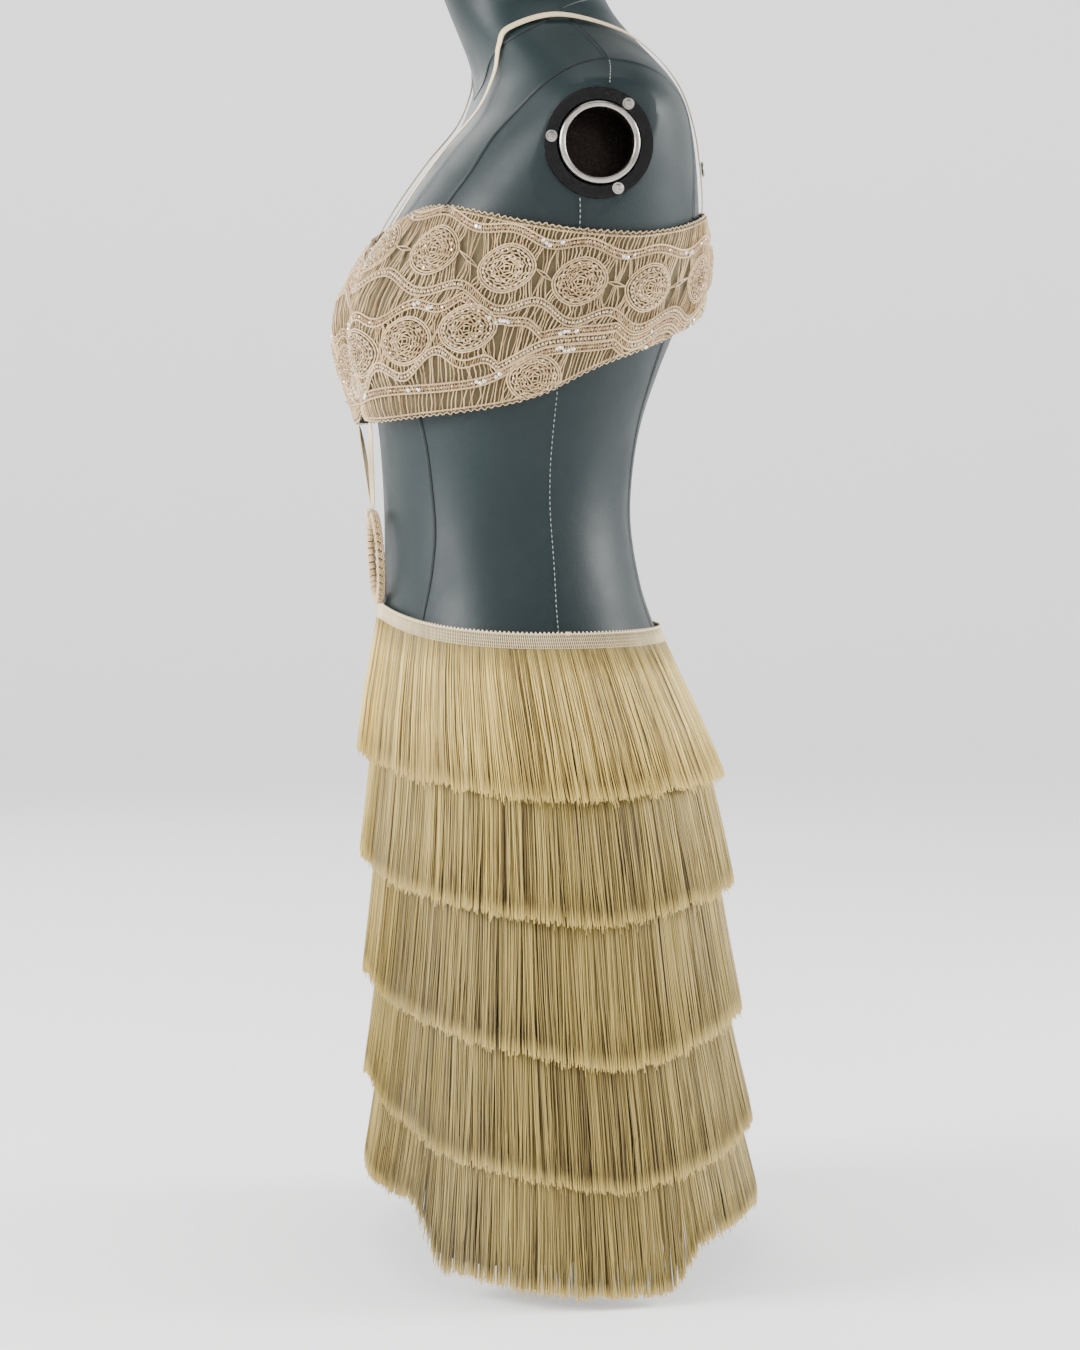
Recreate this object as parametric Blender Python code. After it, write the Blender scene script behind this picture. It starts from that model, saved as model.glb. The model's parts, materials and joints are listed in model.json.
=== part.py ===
"""Crochet mini dress with five fringe tiers, worn by a limbless padded dress form.

Metres, +Z up. The floor is z = 0, the front of the dress faces -Y and the wearer's left is +X.
The pole's foot stands on the origin. Every cloth piece is worked out from one body surface, moved
outwards.
"""

import random
from math import cos, degrees, exp, hypot, pi, radians, sin

import bmesh
import bpy
from mathutils import Vector
from mathutils.geometry import delaunay_2d_cdt

# Cloth walls and the spaces between layers
SEAM_GAP = 0.0004
LINING_CLEARANCE = 0.0020
LINING_WALL = 0.0012
LACE_CLEARANCE = 0.0018
LACE_WALL = 0.0012
LACE_COLUMNS = 25
LACE_ROW_SPACING = 0.019
LACE_SEAM_ANGLE = 0.25
LACE_FLAT_RADIUS = 0.14
FOUNDATION_WALL = 0.0012

# Stations round the body and up each wall
BODY_STATIONS = 44
LINING_ROWS = 9
FOUNDATION_STATIONS = 40
LOCKS_ROUND = 38

# Body and skirt as level sections: height, front edge, back edge, half width
SECTION_COLUMNS = ("height", "front", "back", "half_width")
FORM_SECTIONS = (
    (0.330, -0.100, 0.122, 0.156),
    (0.345, -0.106, 0.128, 0.164),
    (0.380, -0.109, 0.132, 0.169),
    (0.420, -0.1105, 0.130, 0.170),
    (0.460, -0.1105, 0.117, 0.163),
    (0.500, -0.109, 0.1045, 0.150),
    (0.534, -0.107, 0.0935, 0.136),
    (0.582, -0.107, 0.0858, 0.124),
    (0.622, -0.1085, 0.0870, 0.122),
    (0.662, -0.1115, 0.0935, 0.128),
    (0.702, -0.116, 0.1065, 0.137),
    (0.741, -0.119, 0.122, 0.147),
    (0.775, -0.118, 0.134, 0.156),
    (0.802, -0.111, 0.138, 0.163),
    (0.834, -0.093, 0.1365, 0.170),
    (0.870, -0.067, 0.1325, 0.175),
    (0.895, -0.046, 0.127, 0.176),
    (0.912, -0.038, 0.1215, 0.168),
    (0.930, -0.033, 0.112, 0.146),
    (0.948, -0.037, 0.100, 0.113),
    (0.967, -0.046, 0.086, 0.081),
    (0.985, -0.0545, 0.073, 0.063),
    (1.005, -0.0625, 0.0625, 0.0575),
    (1.035, -0.075, 0.049, 0.0565),
)
SKIRT_SECTIONS = (
    (-0.020, -0.1080, 0.1725, 0.1900),
    (0.040, -0.1080, 0.1710, 0.1900),
    (0.110, -0.1085, 0.1665, 0.1890),
    (0.210, -0.1090, 0.1565, 0.1860),
    (0.310, -0.1105, 0.1500, 0.1820),
    (0.380, -0.1125, 0.1440, 0.1780),
    (0.420, -0.1132, 0.1335, 0.1735),
    (0.460, -0.1130, 0.1200, 0.1665),
    (0.500, -0.1103, 0.1058, 0.1517),
    (0.530, -0.1084, 0.0960, 0.1389),
)
SQUARENESS = 2.3
TORSO_LEVELS = (0.330, 0.345, 0.380, 0.440, 0.500, 0.545, 0.590, 0.635, 0.680, 0.720, 0.748, 0.776,
                0.805, 0.835, 0.865, 0.889, 0.909, 0.925, 0.938, 0.951, 0.966, 0.984, 1.008, 1.035)

# Bust: how far each side swells out of the sections, and where
BUST_SWELL = 0.031
BUST_HEIGHT = 0.745
BUST_HALF_SPACING = 0.085
BUST_SPREAD = 0.045
BUST_RISE = 0.045
BUST_FALL = 0.050
BUST_SIDE_SHARE = 3.0
CUP_FALL = 0.085
CUP_STAND_OFF = 0.009
BACK_STAND_OFF = 0.011
BACK_STAND_OFF_TOP = 0.825
STAND_OFF_BLEND = 0.07

# Small steps and counts used to read surfaces
ANGLE_STEP = 0.02
HEIGHT_STEP = 0.002
HALVINGS = 40

# Edges of the top band, one row for each angle from the front
BAND_COLUMNS = ("angle", "bottom", "top")
BAND_EDGES = (
    (0, 0.675, 0.789),
    (9, 0.668, 0.794),
    (20, 0.666, 0.806),
    (42, 0.665, 0.821),
    (55, 0.667, 0.822),
    (75, 0.673, 0.812),
    (90, 0.683, 0.806),
    (107, 0.706, 0.804),
    (122, 0.721, 0.810),
    (136, 0.733, 0.818),
    (158, 0.747, 0.826),
    (180, 0.755, 0.829),
)

# Medallions of the lace, seen from the front centre: angle and height of each centre, in two rows
UPPER_MEDALLIONS = ((13, 0.782), (34, 0.797), (55, 0.790), (76, 0.775), (97, 0.766), (119, 0.766),
                    (141, 0.776), (163, 0.787))
LOWER_MEDALLIONS = ((24, 0.712), (45, 0.719), (66, 0.724), (90, 0.704))
MEDALLION_HALF_WIDTH = 0.0195
MEDALLION_HALF_HEIGHT = 0.0165
MEDALLION_RELIEF = 0.0012
MEDALLION_CENTRE_RELIEF = 0.0005
MEDALLION_RIM_SHARE = 0.72
MEDALLION_KEEP_OUT = 1.15
MEDALLION_POINTS = 8
WINDOW_EDGE_MARGIN = 0.0035
WINDOW_POINT_MARGIN = 0.0022
WINDOW_CLEAR_ANGLE = 2
WINDOW_COLUMNS = ("low_x", "low_z", "low_half", "high_x", "high_z", "high_half")
WINDOW_SHAPES = (
    (0.0, 0.0034, 0.0016, 0.0, 0.0150, 0.0032),
    (0.0056, 0.0056, 0.0018, 0.0098, 0.0160, 0.0030),
    (-0.0056, 0.0056, 0.0018, -0.0098, 0.0160, 0.0030),
)

# Fringe: hem height of each tier, one row for each angle from the front
HEM_COLUMNS = ("angle", "tier_1", "tier_2", "tier_3", "tier_4", "tier_5")
HEM_HEIGHTS = (
    (0, 0.406, 0.322, 0.229, 0.148, 0.066),
    (44, 0.397, 0.308, 0.213, 0.124, 0.069),
    (53, 0.393, 0.304, 0.207, 0.111, 0.024),
    (76, 0.384, 0.294, 0.193, 0.099, 0.015),
    (94, 0.381, 0.287, 0.179, 0.087, 0.008),
    (106, 0.384, 0.293, 0.184, 0.094, 0.010),
    (113, 0.386, 0.297, 0.191, 0.099, 0.043),
    (132, 0.389, 0.303, 0.203, 0.112, 0.052),
    (180, 0.388, 0.306, 0.211, 0.121, 0.055),
)
TAPE_HEIGHT = 0.011
TAPE_OVERLAP = 0.022
TAPE_CLEARANCE = 0.0009
TAPE_WALL = 0.0018
FOUNDATION_DROP = 0.001
FOUNDATION_LEVELS = (0.0, 0.11, 0.24, 0.45, 0.73, 1.0)
FOUNDATION_HEM = 0.004
WAIST_SIDE_HEIGHT = 0.5035
WAIST_FRONT_RISE = 0.0165
TIER_LEVEL_ANGLE = 0.15
LOCK_SHARE = 0.8
LOCK_COLUMNS = ("along", "out", "thickness", "width_share")
LOCK_STAGES = (
    (0.38, 0.0062, 0.0028, 0.98),
    (1.0, 0.0150, 0.0030, 0.90),
)
LOCK_LENGTH_JITTER = 0.004
LOCK_SWING_JITTER = 0.0009
LOCK_SEED = 11
LOWEST_TIP = 0.006

# Straps: a row for each point, as height, distance from the middle and lift off the body
STRAP_FRONT = (
    (0.838, 0.0520, 0.0036),
    (0.870, 0.0575, 0.0040),
    (0.902, 0.0630, 0.0032),
    (0.930, 0.0680, 0.0024),
    (0.950, 0.0720, 0.0020),
    (0.962, 0.0745, 0.0026),
)
STRAP_BACK = (
    (0.962, 0.0760, 0.0028),
    (0.945, 0.0750, 0.0023),
    (0.920, 0.0720, 0.0023),
    (0.890, 0.0680, 0.0023),
    (0.862, 0.0640, 0.0025),
    (0.842, 0.0620, 0.0028),
)
STRAP_CREST_SIDE = 0.0755
STRAP_CREST_LIFT = 0.0034
STRAP_CREST_RANGE = (0.950, 0.985)
STRAP_FOOT_SIDES = (0.0470, 0.0610)
STRAP_WIDTH = 0.0060
STRAP_THICKNESS = 0.0010
STRAP_STEPS = 3
STRAP_FOOT_LEVEL = 0.82
STRAP_FOOT_ROUNDS = 6
SLIDER_HEIGHT = 0.858
SLIDER_RADIUS = 0.0052
SLIDER_WIRE_RADIUS = 0.0009
SLIDER_SEGMENTS = 12
SLIDER_SIDES = 5

# Ring at the belly and the two straps that hold it
RING_TOP = 0.5945
RING_BOTTOM = 0.5206
RING_TOP_FRONT = -0.1206
RING_BOTTOM_FRONT = -0.1159
RING_TUBE_RADIUS = 0.0029
RING_STITCH_RELIEF = 0.0005
RING_STITCHES = 24
RING_SIDES = 5
FRONT_STRAP_SIDE = 0.0440
FRONT_STRAP_ENDS = 0.0034
FRONT_STRAP_WIDTH = 0.0045
FRONT_STRAP_POINTS = 6
FRONT_STRAP_LEVEL = 0.667
FRONT_STRAP_RISE = 0.0016
FRONT_STRAP_BOW = 0.004

# Arm sockets of the form
ARM_FLAT = 0.1650
ARM_CENTRE_Y = 0.034
ARM_CENTRE_Z = 0.868
PLATE_RADIUS = 0.041
PLATE_HOLE_RADIUS = 0.0313
PLATE_THICKNESS = 0.003
SOCKET_RADIUS = 0.0305
SOCKET_BORE_RADIUS = 0.0255
SOCKET_PROUD = 0.0085
SOCKET_DEPTH = 0.047
SOCKET_CHAMFER = 0.001
BORE_CLEARANCE = 0.0008
BORE_EXTRA_DEPTH = 0.002
CUTTER_PROUD = 0.02
ROUND_SEGMENTS = 20
SCREW_CIRCLE_RADIUS = 0.0361
SCREW_RADIUS = 0.0044
SCREW_HEIGHT = 0.0014
SCREW_TOP_SHARE = 0.7
SCREW_ANGLES = (173, 53, -67)
SCREW_SEGMENTS = 8

# Stand
POLE_RADIUS = 0.0125
POLE_SEGMENTS = 16
FOOT_RADIUS = 0.070
FOOT_THICKNESS = 0.008
FOOT_SEGMENTS = 32
FOOT_BEVEL = 0.002

# Colours (linear RGB), roughness and metallic value of each material
MATERIALS = {
    "leatherette": ((0.070, 0.112, 0.122), 0.42, 0.0),
    "black_plate": ((0.006, 0.006, 0.007), 0.30, 0.2),
    "steel": ((0.62, 0.60, 0.57), 0.28, 1.0),
    "lining": ((0.290, 0.235, 0.150), 0.75, 0.0),
    "lace": ((0.620, 0.480, 0.320), 0.85, 0.0),
    "strap": ((0.680, 0.580, 0.430), 0.45, 0.0),
    "foundation": ((0.420, 0.350, 0.230), 0.80, 0.0),
    "fringe": ((0.600, 0.500, 0.280), 0.50, 0.0),
    "ring": ((0.600, 0.480, 0.320), 0.80, 0.0),
}


def clear_scene():
    for item in list(bpy.data.objects):
        bpy.data.objects.remove(item)


def material(name, kind):
    colour, roughness, metallic = MATERIALS[kind]
    made = bpy.data.materials.new(name)
    made.use_nodes = True
    shader = made.node_tree.nodes["Principled BSDF"]
    shader.inputs["Base Color"].default_value = (*colour, 1.0)
    shader.inputs["Roughness"].default_value = roughness
    shader.inputs["Metallic"].default_value = metallic
    return made


def add_object(name, bm, kind, smooth=True, sharp_angle=40):
    """Turns a closed bmesh into a named object with its own material."""
    bmesh.ops.recalc_face_normals(bm, faces=bm.faces[:])
    mesh = bpy.data.meshes.new(name)
    bm.to_mesh(mesh)
    bm.free()
    mesh.materials.append(material(name, kind))
    if smooth:
        mesh.shade_smooth()
        mesh.set_sharp_from_angle(angle=radians(sharp_angle))
    item = bpy.data.objects.new(name, mesh)
    bpy.context.scene.collection.objects.link(item)
    return item


def read_table(columns, rows):
    """A table's rows as one list for each named column."""
    return {name: [row[i] for row in rows] for i, name in enumerate(columns)}


FORM = read_table(SECTION_COLUMNS, FORM_SECTIONS)
SKIRT = read_table(SECTION_COLUMNS, SKIRT_SECTIONS)
BAND = read_table(BAND_COLUMNS, BAND_EDGES)
HEMS = read_table(HEM_COLUMNS, HEM_HEIGHTS)


def straight_between(xs, ys, at):
    """Straight-line reading of a column."""
    if at <= xs[0]:
        return ys[0]
    for i in range(len(xs) - 1):
        if at <= xs[i + 1]:
            share = (at - xs[i]) / (xs[i + 1] - xs[i])
            return ys[i] + share * (ys[i + 1] - ys[i])
    return ys[-1]


def smooth_between(xs, ys, at):
    """Reading of a column on one smooth curve through its rows."""
    last = len(xs) - 1
    i = 0
    while i < last - 1 and at > xs[i + 1]:
        i += 1

    def slope(k):
        low = max(k - 1, 0)
        high = min(k + 1, last)
        return (ys[high] - ys[low]) / (xs[high] - xs[low])

    span = xs[i + 1] - xs[i]
    s = (at - xs[i]) / span
    rise = ys[i + 1] - ys[i]
    start = slope(i) * span
    end = slope(i + 1) * span
    return ys[i] + s * (start + s * (3 * rise - 2 * start - end + s * (start + end - 2 * rise)))


def section_point(table, angle, height, offset=0.0):
    """Point on a level section at an angle from the front, moved outwards, and the way that outwards is."""
    front = smooth_between(table["height"], table["front"], height)
    back = smooth_between(table["height"], table["back"], height)
    half_width = smooth_between(table["height"], table["half_width"], height)
    half_depth = (back - front) / 2
    share_x = abs(sin(angle)) / half_width
    share_y = abs(cos(angle)) / half_depth
    radius = (share_x**SQUARENESS + share_y**SQUARENESS) ** (-1 / SQUARENESS)
    x = radius * sin(angle)
    y = -radius * cos(angle)
    power = SQUARENESS - 1
    out_x = (abs(x) / half_width) ** power / half_width * (1 if x >= 0 else -1)
    out_y = (abs(y) / half_depth) ** power / half_depth * (1 if y >= 0 else -1)
    size = hypot(out_x, out_y)
    outwards = Vector((out_x / size, out_y / size, 0.0))
    return Vector((x, y + (front + back) / 2, height)) + outwards * offset


def bust_swell(x, angle, height, fall):
    """How far the bust stands in front of the level section."""
    if cos(angle) <= 0:
        return 0.0
    spread = BUST_RISE if height > BUST_HEIGHT else fall
    across = (abs(x) - BUST_HALF_SPACING) / BUST_SPREAD
    along = (height - BUST_HEIGHT) / spread
    return BUST_SWELL * exp(-across * across - along * along) * min(1.0, BUST_SIDE_SHARE * cos(angle))


def body_point(angle, height, offset=0.0):
    point = section_point(FORM, angle, height, offset)
    point.y -= bust_swell(point.x, angle, height, BUST_FALL)
    return point


def band_face(angle, height):
    """Point inside the top band, which spans the bust, hangs off it and stands off the small of the back."""
    point = section_point(FORM, angle, height)
    point.y -= bust_swell(point.x, angle, height, CUP_FALL)
    below = min(1.0, max(0.0, (BUST_HEIGHT - height) / STAND_OFF_BLEND))
    point.y -= CUP_STAND_OFF * below * max(0.0, cos(angle))
    hollow = min(1.0, max(0.0, (BACK_STAND_OFF_TOP - height) / STAND_OFF_BLEND))
    point.y += BACK_STAND_OFF * hollow * max(0.0, -cos(angle))
    return point


def outward(face, angle, height):
    """Unit vector straight out of a surface that is given by angle and height."""
    across = face(angle + ANGLE_STEP, height) - face(angle - ANGLE_STEP, height)
    up = face(angle, height + HEIGHT_STEP) - face(angle, height - HEIGHT_STEP)
    return across.cross(up).normalized()


def band_point(angle, height, offset=0.0):
    return band_face(angle, height) + outward(band_face, angle, height) * offset


def skirt_point(angle, height, offset=0.0):
    return section_point(SKIRT, angle, height, offset)


def folded_degrees(angle):
    """Angle from the front in degrees, the same on both sides."""
    turned = degrees(angle) % 360
    return min(turned, 360 - turned)


def band_edge(angle, edge):
    return smooth_between(BAND["angle"], BAND[edge], folded_degrees(angle))


def hem_height(angle, tier):
    return straight_between(HEMS["angle"], HEMS["tier_%d" % tier], folded_degrees(angle))


def tape_top(angle, tier):
    """Upper edge of a tier's heading tape. The first is the waistband, which rises to the ring."""
    if tier == 1:
        rise = max(0.0, cos(angle)) ** 2
        return WAIST_SIDE_HEIGHT + WAIST_FRONT_RISE * rise
    before = hem_height(angle - TIER_LEVEL_ANGLE, tier - 1)
    after = hem_height(angle + TIER_LEVEL_ANGLE, tier - 1)
    return (before + after) / 2 + TAPE_OVERLAP


def angles_round(count):
    return [2 * pi * i / count for i in range(count)]


def join_rings(bm, rings, closed):
    """Quads between rings of points that have the same count. Closed joins the last ring to the first."""
    made = [[bm.verts.new(point) for point in ring] for ring in rings]
    pairs = list(zip(made, made[1:]))
    if closed:
        pairs.append((made[-1], made[0]))
    for low, high in pairs:
        count = len(low)
        for i in range(count):
            j = (i + 1) % count
            bm.faces.new((low[i], low[j], high[j], high[i]))
    return made


def solid_of_rings(rings):
    """Closed solid with a flat face on its first and last ring."""
    bm = bmesh.new()
    made = join_rings(bm, rings, closed=False)
    bm.faces.new(made[0])
    bm.faces.new(made[-1])
    return bm


def tube_wall(outer, inner):
    """Closed wall between an outer and an inner list of rings, both from top to bottom."""
    bm = bmesh.new()
    join_rings(bm, outer + inner[::-1], closed=True)
    return bm


def turned_rings(centre, side, profile, segments):
    """Rings about an X axis, one for each (distance out along X, radius) of a profile."""
    rings = []
    for along, radius in profile:
        ring = []
        for angle in angles_round(segments):
            ring.append(centre + Vector((side * along, radius * cos(angle), radius * sin(angle))))
        rings.append(ring)
    return rings


def turned_tube(centre, side, profile, segments):
    """Closed solid of revolution about an X axis, with a hole along it."""
    bm = bmesh.new()
    join_rings(bm, turned_rings(centre, side, profile, segments), closed=True)
    return bm


def form_torso():
    """Torso with neck: level rings, flats at the arms and a bore behind each socket."""
    around = angles_round(BODY_STATIONS)
    rings = [[body_point(angle, height) for angle in around] for height in TORSO_LEVELS]
    bm = solid_of_rings(rings)
    for side in (1, -1):
        everything = bm.verts[:] + bm.edges[:] + bm.faces[:]
        bmesh.ops.bisect_plane(bm, geom=everything, dist=1e-6, plane_co=(side * ARM_FLAT, 0, 0),
                               plane_no=(side, 0, 0), clear_outer=True)
        bmesh.ops.holes_fill(bm, edges=[edge for edge in bm.edges if edge.is_boundary], sides=0)
    torso = add_object("form_torso", bm, "leatherette")
    for side, word in ((1, "left"), (-1, "right")):
        cutter = bore_cutter(side, word)
        cut = torso.modifiers.new("bore_" + word, "BOOLEAN")
        cut.operation = "DIFFERENCE"
        cut.object = cutter
    return torso


def arm_centre(side, out):
    return Vector((side * out, ARM_CENTRE_Y, ARM_CENTRE_Z))


def bore_cutter(side, word):
    radius = SOCKET_RADIUS + BORE_CLEARANCE
    profile = ((-SOCKET_DEPTH - BORE_EXTRA_DEPTH, radius), (CUTTER_PROUD, radius))
    rings = turned_rings(arm_centre(side, ARM_FLAT), side, profile, ROUND_SEGMENTS)
    cutter = add_object("cutter_" + word, solid_of_rings(rings), "steel", smooth=False)
    cutter.hide_render = True
    cutter.display_type = "WIRE"
    return cutter


def arm_socket(side, word):
    """Black plate, steel socket tube and three screws on the flat of one arm."""
    centre = arm_centre(side, ARM_FLAT)
    low = SEAM_GAP
    high = SEAM_GAP + PLATE_THICKNESS
    plate = (
        (low, PLATE_HOLE_RADIUS),
        (low, PLATE_RADIUS),
        (high, PLATE_RADIUS),
        (high, PLATE_HOLE_RADIUS),
    )
    add_object("arm_plate_" + word, turned_tube(centre, side, plate, ROUND_SEGMENTS), "black_plate")
    lip = 0.5 * (SOCKET_RADIUS + SOCKET_BORE_RADIUS)
    tube = (
        (-SOCKET_DEPTH, SOCKET_BORE_RADIUS),
        (-SOCKET_DEPTH, SOCKET_RADIUS),
        (SOCKET_PROUD - SOCKET_CHAMFER, SOCKET_RADIUS),
        (SOCKET_PROUD, lip),
        (SOCKET_PROUD - SOCKET_CHAMFER, SOCKET_BORE_RADIUS),
    )
    add_object("arm_socket_" + word, turned_tube(centre, side, tube, ROUND_SEGMENTS), "steel")
    screw = (
        (0.0, SCREW_RADIUS),
        (SCREW_HEIGHT / 2, SCREW_RADIUS),
        (SCREW_HEIGHT, SCREW_RADIUS * SCREW_TOP_SHARE),
    )
    for number, turn in enumerate(SCREW_ANGLES, 1):
        across = SCREW_CIRCLE_RADIUS * cos(radians(turn))
        up = SCREW_CIRCLE_RADIUS * sin(radians(turn))
        middle = centre + Vector((side * (high + SEAM_GAP), across, up))
        rings = turned_rings(middle, side, screw, SCREW_SEGMENTS)
        add_object("arm_screw_%s_%d" % (word, number), solid_of_rings(rings), "steel")


def disc_ring(radius, height, segments):
    return [Vector((radius * sin(a), radius * cos(a), height)) for a in angles_round(segments)]


def stand():
    """Pole under the torso and the round foot that everything stands on."""
    top = FORM_SECTIONS[0][0] - SEAM_GAP
    pole = [disc_ring(POLE_RADIUS, height, POLE_SEGMENTS) for height in (FOOT_THICKNESS + SEAM_GAP, top)]
    add_object("stand_pole", solid_of_rings(pole), "steel")
    foot = (
        (FOOT_RADIUS, 0.0),
        (FOOT_RADIUS, FOOT_THICKNESS - FOOT_BEVEL),
        (FOOT_RADIUS - FOOT_BEVEL, FOOT_THICKNESS),
    )
    rings = [disc_ring(radius, height, FOOT_SEGMENTS) for radius, height in foot]
    add_object("stand_foot", solid_of_rings(rings), "black_plate")


def band_lining():
    """Colliding wall of the top band, all round the body."""
    walls = []
    for offset in (LINING_CLEARANCE + LINING_WALL, LINING_CLEARANCE):
        rings = []
        for row in range(LINING_ROWS):
            share = row / (LINING_ROWS - 1)
            ring = []
            for angle in angles_round(BODY_STATIONS):
                top = band_edge(angle, "top")
                bottom = band_edge(angle, "bottom")
                ring.append(band_point(angle, top + share * (bottom - top), offset))
            rings.append(ring)
        walls.append(rings)
    add_object("band_lining", tube_wall(*walls), "lining")


def local_radius(angle, height):
    point = band_point(angle, height)
    return hypot(point.x, point.y)


def lace_windows():
    """Corners, as (angle, height), of the gaps beside each neck between two medallions."""
    windows = []
    for row in (UPPER_MEDALLIONS, LOWER_MEDALLIONS):
        for (turn, height), (next_turn, next_height) in zip(row, row[1:]):
            neck = radians((turn + next_turn) / 2)
            level = (height + next_height) / 2
            metre = 1 / local_radius(neck, level)
            for shape in WINDOW_SHAPES:
                window = dict(zip(WINDOW_COLUMNS, shape))
                for up in (1, -1):
                    corners = []
                    for end, side in (("low", -1), ("low", 1), ("high", 1), ("high", -1)):
                        across = window[end + "_x"] + side * window[end + "_half"]
                        corners.append((neck + across * metre, level + up * window[end + "_z"]))
                    windows.append(corners[::up])
    return [window for window in windows if all(inside_band(*corner) for corner in window)]


def inside_band(angle, height):
    low = band_edge(angle, "bottom") + WINDOW_EDGE_MARGIN
    high = band_edge(angle, "top") - WINDOW_EDGE_MARGIN
    clear = radians(WINDOW_CLEAR_ANGLE)
    return low < height < high and clear < angle < pi - clear


def in_polygon(point, corners):
    sign = 0
    for (ax, ay), (bx, by) in zip(corners, corners[1:] + corners[:1]):
        turn = (bx - ax) * (point[1] - ay) - (by - ay) * (point[0] - ax)
        if turn * sign < 0:
            return False
        sign = turn or sign
    return True


def medallion_centres():
    return [(radians(turn), height) for turn, height in UPPER_MEDALLIONS + LOWER_MEDALLIONS]


def medallion_points():
    """Rim and centre points of the medallions, as (angle, height, relief)."""
    points = []
    for angle, height in medallion_centres():
        metre = 1 / local_radius(angle, height)
        points.append((angle, height, MEDALLION_CENTRE_RELIEF))
        for step in range(MEDALLION_POINTS):
            turn = 2 * pi * (step + 0.5) / MEDALLION_POINTS
            across = MEDALLION_HALF_WIDTH * MEDALLION_RIM_SHARE * cos(turn)
            up = MEDALLION_HALF_HEIGHT * MEDALLION_RIM_SHARE * sin(turn)
            points.append((angle + across * metre, height + up, MEDALLION_RELIEF))
    return points


def clear_of_medallions(angle, height):
    for centre, level in medallion_centres():
        across = (angle - centre) * local_radius(centre, level) / MEDALLION_HALF_WIDTH
        if hypot(across, (height - level) / MEDALLION_HALF_HEIGHT) < MEDALLION_KEEP_OUT:
            return False
    return True


def grid_points():
    """Loose grid of points between the medallions."""
    points = []
    for column in range(1, LACE_COLUMNS):
        angle = pi * column / LACE_COLUMNS
        for spot in seam_points(angle)[1:-1]:
            if clear_of_medallions(*spot):
                points.append((*spot, 0.0))
    return points


def lace_outline():
    """Corners round one half of the lace, from the centre front to the centre back."""
    front = radians(LACE_SEAM_ANGLE)
    back = pi - front
    between = [pi * i / LACE_COLUMNS for i in range(1, LACE_COLUMNS)]
    edge_angles = [front] + between + [back]
    lower = [(angle, band_edge(angle, "bottom")) for angle in edge_angles]
    upper = [(angle, band_edge(angle, "top")) for angle in edge_angles]
    return lower + seam_points(back)[1:-1] + upper[::-1] + seam_points(front)[-2:0:-1]


def seam_points(angle):
    """Points from the lower to the upper edge of the lace at one angle."""
    bottom = band_edge(angle, "bottom")
    top = band_edge(angle, "top")
    rows = max(2, round((top - bottom) / LACE_ROW_SPACING))
    return [(angle, bottom + (top - bottom) * row / rows) for row in range(rows + 1)]


def in_outline(spot, outline):
    """Even-odd test of a point against the lace's outline."""
    x, y = spot
    inside = False
    for (ax, ay), (bx, by) in zip(outline, outline[1:] + outline[:1]):
        if (ay > y) != (by > y) and x < (bx - ax) * (y - ay) / (by - ay) + ax:
            inside = not inside
    return inside


def loose_points(windows):
    """Points inside the lace that keep clear of its gaps."""
    kept = []
    for angle, height, relief in medallion_points() + grid_points():
        if not inside_band(angle, height):
            continue
        if any(in_polygon((angle, height), window) for window in windows):
            continue
        reach = [hypot((angle - a) * LACE_FLAT_RADIUS, height - h) for window in windows for a, h in window]
        if min(reach) > WINDOW_POINT_MARGIN:
            kept.append((angle, height, relief))
    return kept


def lace_mesh():
    """The lace laid flat: its points as (angle, height, relief) and its triangles, with none in a gap."""
    windows = lace_windows()
    outline = lace_outline()
    flat = []
    edges = []
    for loop in [outline] + windows:
        first = len(flat)
        flat += [(angle, height, 0.0) for angle, height in loop]
        edges += [(first + i, first + (i + 1) % len(loop)) for i in range(len(loop))]
    flat += loose_points(windows)
    stretched = [Vector((angle * LACE_FLAT_RADIUS, height)) for angle, height, relief in flat]
    places, _, faces, origins, _, _ = delaunay_2d_cdt(stretched, edges, [], 0, 1e-7)
    points = []
    for place, origin in zip(places, origins):
        points.append((place.x / LACE_FLAT_RADIUS, place.y, flat[origin[0]][2] if origin else 0.0))
    kept = []
    for face in faces:
        spot = (sum(points[i][0] for i in face) / len(face), sum(points[i][1] for i in face) / len(face))
        if in_outline(spot, outline) and not any(in_polygon(spot, window) for window in windows):
            kept.append(face)
    return points, kept


def lace_half(side, word, points, faces):
    """Lace over one half of the lining, with a plain back and its medallions raised in front."""
    bm = bmesh.new()
    back_offset = LINING_CLEARANCE + LINING_WALL + LACE_CLEARANCE
    front = []
    back = []
    for angle, height, relief in points:
        front.append(bm.verts.new(band_point(side * angle, height, back_offset + LACE_WALL + relief)))
        back.append(bm.verts.new(band_point(side * angle, height, back_offset)))
    rim = set()
    for face in faces:
        bm.faces.new([front[i] for i in face])
        bm.faces.new([back[i] for i in reversed(face)])
        for pair in zip(face, face[1:] + face[:1]):
            if pair[::-1] in rim:
                rim.remove(pair[::-1])
            else:
                rim.add(pair)
    for a, b in sorted(rim):
        bm.faces.new((front[b], front[a], back[a], back[b]))
    unused = [vert for vert in bm.verts if not vert.link_faces]
    bmesh.ops.delete(bm, geom=unused, context="VERTS")
    add_object("lace_" + word, bm, "lace", sharp_angle=50)


def angle_at_side(table_point, height, side, behind):
    """Angle from the front at which a level section reaches a distance from the middle."""
    low, high = (pi / 2, pi) if behind else (0.0, pi / 2)
    for _ in range(HALVINGS):
        middle = (low + high) / 2
        wide = table_point(middle, height).x > side
        if wide == behind:
            low = middle
        else:
            high = middle
    return (low + high) / 2


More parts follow.
